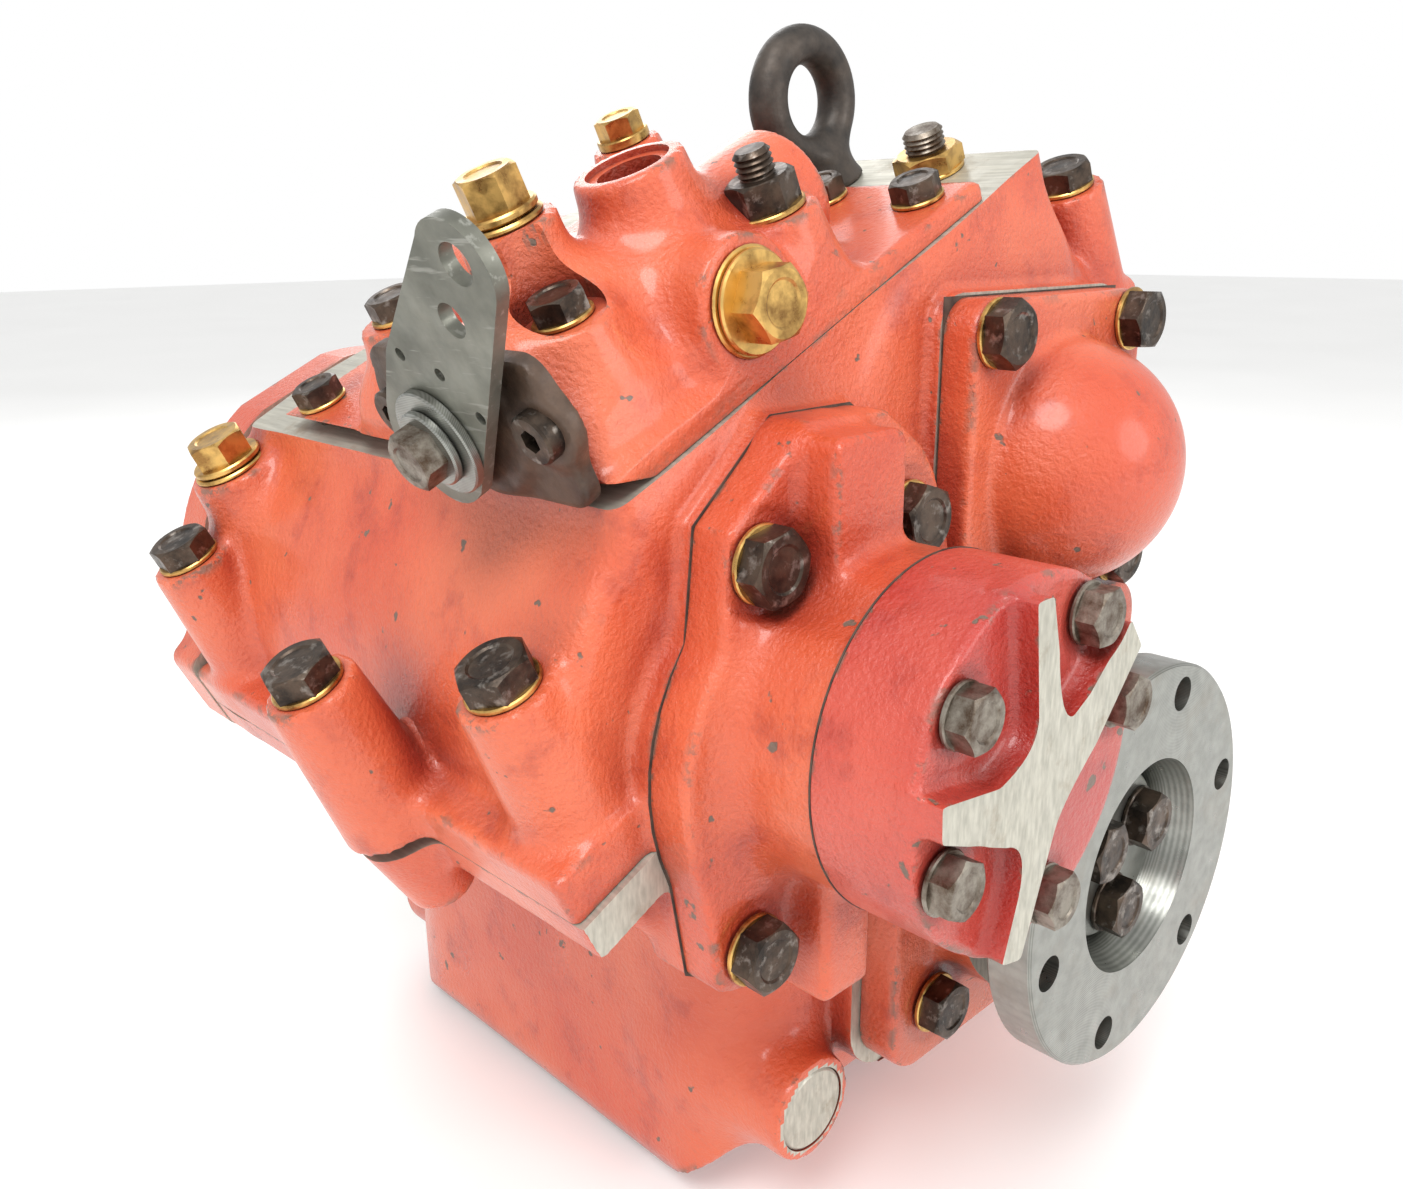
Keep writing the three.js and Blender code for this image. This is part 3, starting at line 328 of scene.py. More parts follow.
class Wires:
    def __init__(self, tree):
        self.tree = tree
        self.place = None

    def add(self, kind, **values):
        node = self.tree.nodes.new(kind)
        for key, value in values.items():
            node.inputs[key].default_value = value
        return node

    def link(self, source, target):
        self.tree.links.new(source, target)

    def position(self):
        if self.place is None:
            self.place = self.add("ShaderNodeTexCoord").outputs["Object"]
        return self.place

    def noise(self, scale, detail=4.0, roughness=0.55, stretch=None):
        node = self.add("ShaderNodeTexNoise", Scale=scale, Detail=detail, Roughness=roughness)
        source = self.position()
        if stretch:
            mapping = self.add("ShaderNodeMapping", Scale=stretch)
            self.link(source, mapping.inputs["Vector"])
            source = mapping.outputs["Vector"]
        self.link(source, node.inputs["Vector"])
        return node.outputs["Fac"]

    def ramp(self, source, *stops):
        """Colour ramp; a stop is (position, colour) or (position, grey level)."""
        node = self.tree.nodes.new("ShaderNodeValToRGB")
        elements = node.color_ramp.elements
        while len(elements) < len(stops):
            elements.new(0.5)
        for element, (place, value) in zip(elements, stops):
            element.position = place
            colour = (value,) * 3 if isinstance(value, (int, float)) else value
            element.color = (*colour, 1.0)
        self.link(source, node.inputs["Fac"])
        return node.outputs["Color"]

    def mix(self, share, a, b):
        """Colour mix; a and b are colours or sockets."""
        node = self.tree.nodes.new("ShaderNodeMix")
        node.data_type = "RGBA"
        for socket, value in ((node.inputs[6], a), (node.inputs[7], b)):
            if isinstance(value, tuple):
                socket.default_value = (*value, 1.0)
            else:
                self.link(value, socket)
        self.link(share, node.inputs[0])
        return node.outputs[2]

    def math(self, operation, a, b=0.0):
        node = self.tree.nodes.new("ShaderNodeMath")
        node.operation = operation
        for socket, value in ((node.inputs[0], a), (node.inputs[1], b)):
            if isinstance(value, (int, float)):
                socket.default_value = value
            else:
                self.link(value, socket)
        return node.outputs[0]

    def pointiness(self):
        return self.add("ShaderNodeNewGeometry").outputs["Pointiness"]

    def shelter(self, reach):
        """1 in the open, towards 0 in corners closer than reach, in metres."""
        node = self.add("ShaderNodeAmbientOcclusion", Distance=reach)
        node.samples = 6
        return node.outputs["AO"]

    def bump(self, shader, *layers):
        """Stacks bumps; a layer is (height socket, depth in metres, strength)."""
        normal = None
        for height, depth, strength in layers:
            node = self.add("ShaderNodeBump", Distance=depth, Strength=strength)
            self.link(height, node.inputs["Height"])
            if normal is not None:
                self.link(normal, node.inputs["Normal"])
            normal = node.outputs["Normal"]
        self.link(normal, shader.inputs["Normal"])


RED = (0.60, 0.080, 0.028)
RED_LIGHT = (0.72, 0.150, 0.062)
RED_DEEP = (0.26, 0.016, 0.012)
# Dark colour of the corner grime, which also stands in for shade.
SOOT_AND_SHADE = (0.060, 0.034, 0.022)
BARE_IRON = (0.16, 0.105, 0.075)
# Darker, crimson copy of the paint colours, which paints shade on the pump's cover.
SHADED_CRIMSON = (0.46, 0.038, 0.026)
SHADED_CRIMSON_PALE = (0.62, 0.098, 0.060)


def enamel(wires, shader, base=RED, light=RED_LIGHT):
    """Brushed enamel over cast iron: grain, faded patches, chips, painted shade in crevices, and oily
    grime with painted shade in tight corners.
    """
    faded = wires.ramp(wires.noise(14, 5), (0.38, 0.0), (0.66, 1.0))
    colour = wires.mix(faded, base, light)
    thin = wires.ramp(wires.noise(55, 6, 0.65), (0.30, 1.0), (0.46, 0.0))
    colour = wires.mix(wires.math("MULTIPLY", thin, 0.45), colour, RED_DEEP)
    # Painted shade: the paint darkens to deep red wherever other surfaces lie within 22 mm.
    crevice_shade = wires.ramp(wires.shelter(0.022), (0.42, 1.0), (0.80, 0.0))
    colour = wires.mix(wires.math("MULTIPLY", crevice_shade, 0.8), colour, RED_DEEP)
    # Grime in tight corners: partly oily dirt in patches, partly painted shade, as it follows where
    # ambient light is blocked within 8 mm.
    corner = wires.ramp(wires.shelter(0.008), (0.30, 1.0), (0.62, 0.0))
    patchy = wires.ramp(wires.noise(60, 5, 0.65), (0.38, 0.1), (0.62, 1.0))
    grime_and_shade = wires.math("MULTIPLY", corner, patchy)
    colour = wires.mix(wires.math("MULTIPLY", grime_and_shade, 0.85), colour, SOOT_AND_SHADE)
    rubbed = wires.ramp(wires.pointiness(), (0.510, 0.0), (0.545, 1.0))
    broken = wires.ramp(wires.noise(90, 5, 0.7), (0.53, 0.0), (0.58, 1.0))
    worn = wires.math("MULTIPLY", rubbed, broken)
    specks = wires.ramp(wires.noise(130, 3, 0.5), (0.70, 0.0), (0.72, 1.0))
    bare = wires.math("MAXIMUM", wires.math("MULTIPLY", worn, 0.8), specks)
    colour = wires.mix(bare, colour, BARE_IRON)
    wires.link(colour, shader.inputs["Base Color"])
    shader.inputs["Coat Weight"].default_value = 0.4
    shader.inputs["Coat Roughness"].default_value = 0.16
    rough = wires.ramp(wires.noise(45, 4), (0.3, 0.26), (0.7, 0.42))
    wires.link(wires.mix(bare, rough, (0.62, 0.62, 0.62)), shader.inputs["Roughness"])
    wires.bump(
        shader,
        (wires.noise(60, 3), 0.0016, 0.35),
        (wires.noise(620, 4, 0.6), 0.0008, 0.9),
        (wires.math("SUBTRACT", 1.0, bare), 0.0003, 0.6),
    )


def shaded_crimson_enamel(wires, shader):
    """A darker, crimson copy of the same paint for the pump's cover: painted shade on that cover."""
    enamel(wires, shader, SHADED_CRIMSON, SHADED_CRIMSON_PALE)


def milled(wires, shader):
    """Pale face-milled iron with fine arcs and a few stains."""
    lines = wires.noise(900, 2, 0.5, stretch=(1.0, 0.06, 0.25))
    tone = wires.ramp(lines, (0.3, (0.40, 0.385, 0.325)), (0.7, (0.56, 0.54, 0.46)))
    stain = wires.ramp(wires.noise(70, 5, 0.7), (0.56, 0.0), (0.74, 0.7))
    wires.link(wires.mix(stain, tone, (0.26, 0.19, 0.12)), shader.inputs["Base Color"])
    wires.link(wires.ramp(wires.noise(160), (0.3, 0.36), (0.7, 0.56)), shader.inputs["Roughness"])
    wires.bump(shader, (lines, 0.0001, 0.5))


def black_bolt(wires, shader):
    """Blackened bolt with brown oil film and rubbed corners."""
    dark, oily = (0.030, 0.024, 0.020), (0.115, 0.082, 0.060)
    film = wires.ramp(wires.noise(120, 5, 0.65), (0.35, dark), (0.62, oily))
    rubbed = wires.ramp(wires.noise(260, 4, 0.6), (0.55, 0.0), (0.70, 0.85))
    wires.link(wires.mix(rubbed, film, (0.30, 0.27, 0.24)), shader.inputs["Base Color"])
    wires.link(wires.ramp(wires.noise(200), (0.3, 0.30), (0.7, 0.52)), shader.inputs["Roughness"])
    wires.bump(shader, (wires.noise(700, 4), 0.0002, 0.4))


def mottled(tone, dark, pale, gloss, grain):
    """Look of two tones in patches.

    tone is the patches' noise, dark and pale are (ramp place, colour), gloss is (noise scale,
    low and high roughness), and grain is (noise, depth, strength) of the bump.
    """
    def build(wires, shader):
        wires.link(wires.ramp(wires.noise(*tone), dark, pale), shader.inputs["Base Color"])
        scale, low_gloss, high_gloss = gloss
        rough = wires.ramp(wires.noise(scale), (0.3, low_gloss), (0.7, high_gloss))
        wires.link(rough, shader.inputs["Roughness"])
        noise, depth, strength = grain
        wires.bump(shader, (wires.noise(*noise), depth, strength))

    return build


# zinc worn through to brown steel
weathered_bolt = mottled(
    (150, 6, 0.7), (0.36, (0.09, 0.058, 0.038)), (0.60, (0.30, 0.27, 0.225)),
    (200, 0.34, 0.6), ((600, 4), 0.0002, 0.4),
)
# yellow passivated plating, tarnished in patches
gold_plate = mottled(
    (120, 5, 0.65), (0.34, (0.30, 0.16, 0.05)), (0.58, (0.74, 0.47, 0.15)),
    (240, 0.24, 0.44), ((500, 3), 0.0001, 0.3),
)
# unpainted casting, oiled and lightly rusted
brown_iron = mottled(
    (60, 6, 0.65), (0.35, (0.035, 0.021, 0.014)), (0.62, (0.115, 0.070, 0.046)),
    (150, 0.38, 0.62), ((380, 5), 0.0005, 0.5),
)
# forging scale on the lifting eye
black_scale = mottled(
    (90, 5, 0.6), (0.35, (0.026, 0.023, 0.020)), (0.65, (0.085, 0.068, 0.055)),
    (150, 0.40, 0.62), ((350, 4), 0.0004, 0.5),
)
# ground gear steel under a film of oil
gear_steel = mottled(
    (80, 4), (0.3, (0.30, 0.29, 0.27)), (0.7, (0.48, 0.47, 0.45)),
    (200, 0.20, 0.36), ((900, 2, 0.5, (1, 0.1, 1)), 0.00005, 0.4),
)
rubber = mottled(
    (150,), (0.3, (0.018, 0.018, 0.018)), (0.7, (0.045, 0.043, 0.040)),
    (300, 0.45, 0.65), ((700, 3), 0.0001, 0.4),
)
gasket_paper = mottled(
    (180, 5), (0.35, (0.030, 0.022, 0.017)), (0.65, (0.10, 0.070, 0.050)),
    (200, 0.6, 0.85), ((800, 3), 0.0001, 0.4),
)


def turned_steel(wires, shader):
    """Bright turned steel: rings round the output axis and faint smudges."""
    mapping = wires.add("ShaderNodeMapping")
    mapping.vector_type = "POINT"
    mapping.inputs["Location"].default_value = tuple(-c for c in ORIGIN)
    wires.link(wires.position(), mapping.inputs["Vector"])
    split = wires.add("ShaderNodeSeparateXYZ")
    wires.link(mapping.outputs["Vector"], split.inputs["Vector"])
    x, _, z = split.outputs
    squares = wires.math("ADD", wires.math("MULTIPLY", x, x), wires.math("MULTIPLY", z, z))
    radius = wires.math("SQRT", squares)
    rings = wires.math("SINE", wires.math("MULTIPLY", radius, 14000.0))
    wavy = wires.math("ADD", wires.math("MULTIPLY", rings, 0.25), wires.noise(160, 4))
    tone = wires.ramp(wavy, (0.2, (0.22, 0.225, 0.205)), (0.8, (0.36, 0.365, 0.335)))
    smudge = wires.ramp(wires.noise(60, 5, 0.65), (0.52, 0.0), (0.72, 0.6))
    wires.link(wires.mix(smudge, tone, (0.27, 0.25, 0.21)), shader.inputs["Base Color"])
    wires.link(wires.ramp(wires.noise(180, 4), (0.3, 0.26), (0.7, 0.42)), shader.inputs["Roughness"])
    wires.bump(shader, (rings, 0.00003, 0.15))


def rolled_plate(wires, shader):
    """Grey-green lever plate with short scratches."""
    scratch = wires.noise(500, 3, 0.6, stretch=(1.0, 0.10, 1.0))
    dark, pale = (0.13, 0.132, 0.108), (0.24, 0.24, 0.20)
    tone = wires.ramp(wires.noise(55, 5, 0.6), (0.35, dark), (0.65, pale))
    marks = wires.ramp(scratch, (0.60, 0.0), (0.68, 0.6))
    wires.link(wires.mix(marks, tone, (0.36, 0.36, 0.32)), shader.inputs["Base Color"])
    wires.link(wires.ramp(wires.noise(150), (0.3, 0.36), (0.7, 0.54)), shader.inputs["Roughness"])
    wires.bump(shader, (scratch, 0.0001, 0.3))


ENAMEL = material("red_enamel", enamel)
SHADED_CRIMSON_ENAMEL = material("shaded_crimson_enamel", shaded_crimson_enamel)
MILLED = material("milled_iron", milled, 0.55)
BOLT = material("black_bolt", black_bolt, 0.85)
WORN_BOLT = material("weathered_bolt", weathered_bolt, 0.9)
GOLD = material("gold_plate", gold_plate, 0.95)
STEEL = material("turned_steel", turned_steel, 0.9)
PLATE = material("rolled_plate", rolled_plate, 0.6)
IRON = material("brown_iron", brown_iron, 0.1)
SCALE = material("black_scale", black_scale, 0.4)
GEAR = material("gear_steel", gear_steel, 0.95)
RUBBER = material("seal_rubber", rubber)
GASKET = material("gasket_paper", gasket_paper)

# ---------------------------------------------------------------- outlines of the front covers
LX, LZ = LAYSHAFT
PUMP_FLANGE = outline(
    (LX + 14, LZ + 75), (LX - 16, LZ + 75), (LX - 42, LZ + 52), (LX - 45, LZ + 24),
    (LX - 66, LZ - 4, LX - 51, LZ - 38), (LX - 46, LZ - 66), (LX - 34, LZ - 73, LX - 20, LZ - 66),
    (LX - 8, LZ - 56, LX + 14, LZ - 52), (LX + 44, LZ - 38, LX + 52, LZ),
    (LX + 46, LZ + 34, LX + 36, LZ + 56), (LX + 30, LZ + 64),
)
PUMP_RIBS = outline(
    (LX - 14, LZ + 43.5), (LX - 7.5, LZ + 43.5), (LX - 3.5, LZ + 30),
    (LX - 1, LZ + 13, LX + 5, LZ + 12.5),
    (LX + 12, LZ + 16), (LX + 29, LZ + 30), (LX + 35.5, LZ + 22), (LX + 17, LZ + 2),
    (LX + 4, LZ - 8, LX + 1, LZ - 14), (LX - 10, LZ - 43.5), (LX - 18, LZ - 41.5), (LX - 13, LZ - 26),
    (LX - 10, LZ - 13, LX - 20, LZ - 11), (LX - 44.5, LZ - 1), (LX - 45, LZ + 7.5), (LX - 24, LZ + 4.5),
    (LX - 10, LZ + 8, LX - 10, LZ + 16),
)
PUMP_FLANGE_FRONT = 42.0
DOME = {"x": 8.5, "z": 120.5, "half": 47.5, "front": 44.0, "r": 38.0}
DOME_CENTRE = (DOME["x"] + 1.5, DOME["z"] - 3)
OUTPUT_FLANGE = {"half": 66.0, "corner": 14.0, "front": 42.0, "hub": 52.0, "hub_front": 30.0}
SUMP = {"left": -108.0, "right": 92.0, "bottom": -120.0, "corner": 20.0, "upright": 34.0,
        "taper": 60.0, "rise": 70.0}
OUTPUT_PAD = 4.5
STRAINER = (-88.7, -69.0)
STRAINER_FRONT, STRAINER_R = 54.0, 13.3


def pump_flange(g):
    return polygon(g, PUMP_FLANGE)


def dome_square(g, grow=0.0):
    half = DOME["half"] + grow
    return rect(g.x, g.z, DOME["x"] - half, DOME["x"] + half, DOME["z"] - half, DOME["z"] + half, 10)


def output_square(g):
    half, top = OUTPUT_FLANGE["half"], DOME["z"] - DOME["half"] - 2
    plate = rect(g.x, g.z, -half, half, -half, top, OUTPUT_FLANGE["corner"])
    return np.maximum(plate, 2.2 - pump_flange(g))


# ---------------------------------------------------------------- main castings
CASE_BOLTS = [tilted_extent(f"case_bolt_{i + 1}") for i in range(4)]
M10_HEAD, M10_WASHER = 6.6, 1.6
M8_HEAD, M8_WASHER = 5.5, 1.4


def middle(extent, axis):
    return (extent[axis][0] + extent[axis][1]) / 2


def seat_of(extent, head, washer):
    """(u, y, w) of a fastener's seat from its tilted extent."""
    return middle(extent, 0), middle(extent, 1), extent[2][1] - head - washer + 0.05


case_seats = [seat_of(extent, M10_HEAD, M10_WASHER) for extent in CASE_BOLTS]


def pads(g):
    pad_rear = CASE_FRONT + 6
    made = extrude(pump_flange(g) - 0.5, g.y, PAD_FRONT - 1, pad_rear, 0.8)
    made = np.minimum(made, extrude(dome_square(g, 1.5), g.y, PAD_FRONT - 1, pad_rear, 0.8))
    return np.minimum(made, extrude(output_square(g) - OUTPUT_PAD, g.y, PAD_FRONT - 1, pad_rear, 0.8))


def barrels(g, radius, y0, y1, edge):
    left = round_y(g, LAYSHAFT, y0, y1, radius, edge)
    right = round_y(g, INPUT, y0, y1, radius, edge)
    return blend_in(left, right, 10)


def sump(g):
    y0, y1 = CASE_FRONT + 2, CASE_REAR
    left, right, bottom = SUMP["left"], SUMP["right"], SUMP["bottom"]
    across = rect(g.x, g.z, left, right, bottom, 260, SUMP["corner"])
    plan = rect(g.x, g.y, left, right, y0, y1 + 30, SUMP["upright"])
    taper = rect(g.x, g.y, left, right, y0 - 60, y1 + 25, SUMP["taper"])
    side = rect(g.y, g.z, y0, y1 + 200, bottom, 400, SUMP["rise"])
    plan = np.maximum(plan, taper)
    return np.maximum(np.maximum(across, plan), np.maximum(side, g.y - y1))


ROOM_R = BARREL_R - WALL - 1
barrel_rooms = [
    prism_solid(circle(at, ROOM_R, 40), CASE_FRONT + WALL, CASE_REAR - WALL)
    for at in (LAYSHAFT, INPUT)
]

g = Grid((-194, 50, -124), (110, 266, 172), VOXEL)
field = np.maximum(barrels(g, BARREL_R, CASE_FRONT, CASE_REAR, 6), g.w - SPLIT_W - 6)
field = blend_in(field, np.maximum(sump(g), g.w - SPLIT_W - 6), 10)
flange = block(g, -142, 150, CASE_FRONT, CASE_REAR, FLANGE_LOW, SPLIT_W + 6, 2.5, 2.5)
nose = block(g, -142, -98, PAD_FRONT - 1, CASE_FRONT + 12, FLANGE_LOW, SPLIT_W + 6, 2.0, 1.5)
field = blend_in(field, np.minimum(flange, nose), 7)
for u, y, _ in case_seats[1:]:
    field = blend_in(field, post(g, u, y, SPLIT_W - 27, SPLIT_W + 3, 10, 14, 3), 7)
field = blend_in(field, round_y(g, STRAINER, 54, 110, 16.5, 1.2), 12)
field = blend_in(field, pads(g), 3)
lower = cast("lower_case_casting", g, field)
machine(lower, [
    tilted(box_solid(-260, 260, 40, 300, SPLIT_W - GAP / 2, 300)),
    box_solid(-200, 200, 30, PAD_FRONT, -50, 200),
    box_solid(-71.5, 200, 30, PAD_FRONT, -70, -49),
    prism_solid(circle(STRAINER, STRAINER_R), 40, STRAINER_FRONT + 3),
    *barrel_rooms,
    box_solid(-96, 80, 100, CASE_REAR - WALL, -80, 60),
])
face_slots(lower, [(FRONT, -PAD_FRONT), (UP_W, SPLIT_W - GAP / 2), (FRONT, -STRAINER_FRONT)])
finish_piece(lower, "case", ["lower_case"], "red_paint", ENAMEL, MILLED)

# ---------------------------------------------------------------- upper case
breather = tilted_extent("breather_plug")
breather_seat = (middle(breather, 0), middle(breather, 1), 174.0)

g = Grid((-216, 50, 12), (130, 266, 216), VOXEL)
field = np.maximum(barrels(g, BARREL_R, CASE_FRONT, CASE_REAR, 6), SPLIT_W - 6 - g.w)
deck = block(g, -82, 108, CASE_FRONT, CASE_REAR - 12, SPLIT_W - 6, COVER_W + 5, 6, 3)
field = blend_in(field, deck, 12)
flange = block(g, -142, 150, CASE_FRONT, CASE_REAR, SPLIT_W - 6, FLANGE_TOP, 2.5, 2.5)
nose = block(g, -142, -98, PAD_FRONT + 2, CASE_FRONT + 12, SPLIT_W - 6, FLANGE_TOP, 2.0, 2.0)
field = blend_in(field, np.minimum(flange, nose), 3)
for u, y, w in case_seats:
    field = blend_in(field, post(g, u, y, FLANGE_TOP - 10, w, 15.5, 12.5, 0.8), 6)
u, y, w = breather_seat
field = blend_in(field, post(g, u, y, SPLIT_W + 30, w, 17, 14, 0.8), 9)
field = blend_in(field, pads(g), 3)
upper = cast("upper_case_casting", g, field)
machine(upper, [
    tilted(box_solid(-260, 260, 40, 300, -50, SPLIT_W + GAP / 2)),
    tilted(box_solid(-83, 260, 40, 300, COVER_W, 260)),
    box_solid(-220, 220, 30, PAD_FRONT, -50, 240),
    *barrel_rooms,
])
face_slots(upper, [(FRONT, -PAD_FRONT), (DOWN_W, -SPLIT_W - GAP / 2), (UP_W, COVER_W)])
finish_piece(upper, "case", ["upper_case"], "red_paint", ENAMEL, MILLED)

# ---------------------------------------------------------------- top cover
COVER_BASE, COVER_FLANGE = COVER_W + GAP, 186.0
RELIEF = (-23.5, 200.5)
PORT = (-17.0, 96.0, 233.5)
REAR_BOSS = (45.0, 170.0, 216.0)
SET_SCREW = (1.0, 85.0, 210.5)
SELECTOR_Y, SELECTOR_W = 96.0, 203.5

cover_seats = [
    seat_of(tilted_extent(f"top_cover_bolt_{i + 1}"), M8_HEAD, M8_WASHER) for i in range(5)
]
detent = tilted_extent("detent_plug")
detent_seat = (middle(detent, 0), middle(detent, 1), 235.0)
stud = tilted_extent("oil_stud")
stud_seat = (middle(stud, 0), middle(stud, 1), 210.0)

g = Grid((-202, 56, 132), (30, 232, 252), min(VOXEL, 1.3))
base = block(g, -82, 75, CASE_FRONT, 224, COVER_BASE - 3, COVER_FLANGE, 2, 1.5)
chest = block(g, -82, 16, CASE_FRONT + 5, 172, COVER_BASE, 202, 12, 9)
field = blend_in(base, chest, 10)
relief_boss = extrude(np.hypot(g.u - RELIEF[0], g.w - RELIEF[1]) - 16.5, g.y, CASE_FRONT, 190, 1.5)
selector_boss = extrude(np.hypot(g.y - SELECTOR_Y, g.w - SELECTOR_W) - 19, g.u, -82, 30, 2)
for boss in (relief_boss, selector_boss):
    field = blend_in(field, boss, 9)
for u, y, w in (cover_seats[0], cover_seats[4]):
    field = blend_in(field, post(g, u, y, COVER_BASE, w, 16.5, 11.8, 0.8), 8)
for seat, foot_r, top_r in (
    (stud_seat, 17, 12.5), (detent_seat, 14.5, 12.5), (PORT, 21.5, 14.5),
    (REAR_BOSS, 17, 11), (SET_SCREW, 12, 7.5),
):
    u, y, w = seat
    field = blend_in(field, post(g, u, y, COVER_BASE, w, foot_r, top_r, 1.2), 7)
cover = cast("top_cover_casting", g, field)
machine(cover, [
    tilted(box_solid(-260, 260, 40, 300, 0, COVER_BASE)),
    tilted(box_solid(-160, -82, 40, 300, 100, 300)),
    tilted(box_solid(-100, 120, 40, CASE_FRONT, 100, 300)),
    post_solid(*PORT[:2], PORT[2] - 1.6, PORT[2] + 9, 11.2),
    post_solid(*PORT[:2], PORT[2] - 16, PORT[2] + 9, 8.5),
    *[post_solid(u, y, w, w + 30, 10.8) for u, y, w in cover_seats],
])
face_slots(cover, [(DOWN_W, -COVER_BASE)])
finish_piece(cover, "case", ["top_cover"], "red_paint", ENAMEL, MILLED)

# ---------------------------------------------------------------- valve housing and its screws
HOUSING_RIGHT = -82 - GAP
SCREW_YS, SCREW_W = (SELECTOR_Y - 29, SELECTOR_Y + 29), 204
g = Grid((-200, 58, 120), (-140, 138, 200), min(VOXEL, 1.0))
plate = extrude(
    rect(g.y, g.w, CASE_FRONT + 1, SELECTOR_Y + 36, 182, 220.5, 7),
    g.u, HOUSING_RIGHT - 4.5, HOUSING_RIGHT + 2, 1.2,
)
hub_round = np.hypot(g.y - SELECTOR_Y, g.w - SELECTOR_W) - 20
hub = extrude(hub_round, g.u, HOUSING_RIGHT - 6.5, HOUSING_RIGHT, 1.5)
field = blend_in(plate, hub, 4)
for y in SCREW_YS:
    ear = extrude(np.hypot(g.y - y, g.w - SCREW_W) - 9, g.u, HOUSING_RIGHT - 4.8, HOUSING_RIGHT, 1)
    field = blend_in(field, ear, 4)
valve = cast("valve_housing_casting", g, field)
machine(valve, [tilted(box_solid(HOUSING_RIGHT, -60, 40, 200, 100, 300))])
finish_piece(valve, "case", ["valve_housing"], "bare_iron", IRON)

# ---------------------------------------------------------------- pump housing and cover
flange_bolts = [design_extent(f"pump_flange_bolt_{i + 1}") for i in range(3)]
g = Grid((-166, 10, -14), (-36, 57, 148), min(VOXEL, 1.2))
field = extrude(pump_flange(g), g.y, PUMP_FLANGE_FRONT, SEAT + 3, 2.0)
field = blend_in(field, round_y(g, LAYSHAFT, PUMP_JOINT + GAP - 3, SEAT, PUMP_R - 1.2, 1), 11)
lug_top = extrude(rect(g.x, g.z, LX - 21, LX + 5, LZ + 20, LZ + 73, 4), g.y, 29, SEAT, 1.5)
lug_low = extrude(rect(g.x, g.z, LX - 20, LX - 1, LZ - 77, LZ - 20, 3), g.y, 30, SEAT, 3)
for lug in (lug_top, lug_low):
    field = blend_in(field, lug, 5)
for bolt in flange_bolts:
    at = (middle(bolt, 0), middle(bolt, 2))
    field = carve(field, round_y(g, at, -20, PUMP_FLANGE_FRONT, 12.2, 0.5), 3)
housing = cast("pump_housing_casting", g, field)
machine(housing, [
    box_solid(-220, 0, -20, PUMP_JOINT + GAP, -60, 200),
    box_solid(-220, 0, SEAT, 120, -60, 200),
    prism_solid(circle(LAYSHAFT, 33), PUMP_JOINT + 16, 80),
    prism_solid(circle(LAYSHAFT, 12.5), 0, 80),
])
face_slots(housing, [(FRONT, -PUMP_JOINT - GAP), (REAR, SEAT)])
finish_piece(housing, "case", ["pump_housing"], "red_paint", ENAMEL, MILLED)

pump_bolts = [design_extent(f"pump_cover_bolt_{i + 1}") for i in range(5)]
g = Grid((-144, -24, 18), (-42, 18, 118), min(VOXEL, 1.0))
field = round_y(g, LAYSHAFT, PUMP_RIM, PUMP_JOINT + 3, PUMP_R, 1.6)
field = blend_in(field, extrude(polygon(g, PUMP_RIBS), g.y, PUMP_FACE - 2, PUMP_RIM + 4, 0.6), 3.5)
for bolt in pump_bolts:
    at = (middle(bolt, 0), middle(bolt, 2))
    field = carve(field, round_y(g, at, -40, PUMP_RIM + 0.2, 9.2, 0.5), 2)
pump_cover = cast("pump_cover_casting", g, field)
machine(pump_cover, [
    box_solid(-220, 0, -40, PUMP_FACE, -60, 200),
    box_solid(-220, 0, PUMP_JOINT - GAP, 60, -60, 200),
    prism_solid(circle(LAYSHAFT, 13.8), -4.5, 40),
    prism_solid(circle((LX + 13.2, LZ - 17.6), 13.8), -4.5, 40),
])
face_slots(pump_cover, [(FRONT, -PUMP_FACE), (REAR, PUMP_JOINT - GAP)])
# The pump's cover takes the darker crimson copy of the enamel, as painted shade.
finish_piece(pump_cover, "case", ["pump_cover"], "red_paint", SHADED_CRIMSON_ENAMEL, MILLED)

# ---------------------------------------------------------------- domed input cover
g = Grid((-44, 4, 68), (62, 58, 174), min(VOXEL, 1.2))
field = extrude(dome_square(g), g.y, DOME["front"], SEAT + 3, 2.2)
across = (g.x - DOME_CENTRE[0]) ** 2 + (g.z - DOME_CENTRE[1]) ** 2
to_centre = np.sqrt(across + (g.y - DOME["front"] - 2) ** 2)
field = blend_in(field, np.maximum(to_centre - DOME["r"], g.y - SEAT), 4)
dome = cast("dome_cover_casting", g, field)
machine(dome, [box_solid(-120, 160, SEAT, 120, -60, 260), prism_solid(circle(DOME_CENTRE, 31), 40, 80)])
face_slots(dome, [(REAR, SEAT)])
finish_piece(dome, "case", ["dome_cover"], "red_paint", ENAMEL, MILLED)

# ---------------------------------------------------------------- output bearing housing
output_bolts = [design_extent(f"output_housing_bolt_{i + 1}") for i in range(3)]
hub_r = OUTPUT_FLANGE["hub"]
g = Grid((-70, 26, -70), (70, 58, 76), min(VOXEL, 1.2))
field = extrude(output_square(g), g.y, OUTPUT_FLANGE["front"], SEAT + 3, 1.8)
hub = round_y(g, OUTPUT, OUTPUT_FLANGE["hub_front"] - 2, SEAT, hub_r, 1)
clear = np.maximum(PUMP_R + 16 - np.hypot(g.x - LX, g.z - LZ), g.z - (DOME["z"] - DOME["half"] - 1.8))
field = blend_in(field, np.maximum(hub, clear), 6)
for bolt in output_bolts:
    at = (middle(bolt, 0), middle(bolt, 2))
    field = carve(field, round_y(g, at, -20, OUTPUT_FLANGE["front"], 12, 0.5), 3)
output = cast("output_housing_casting", g, field)
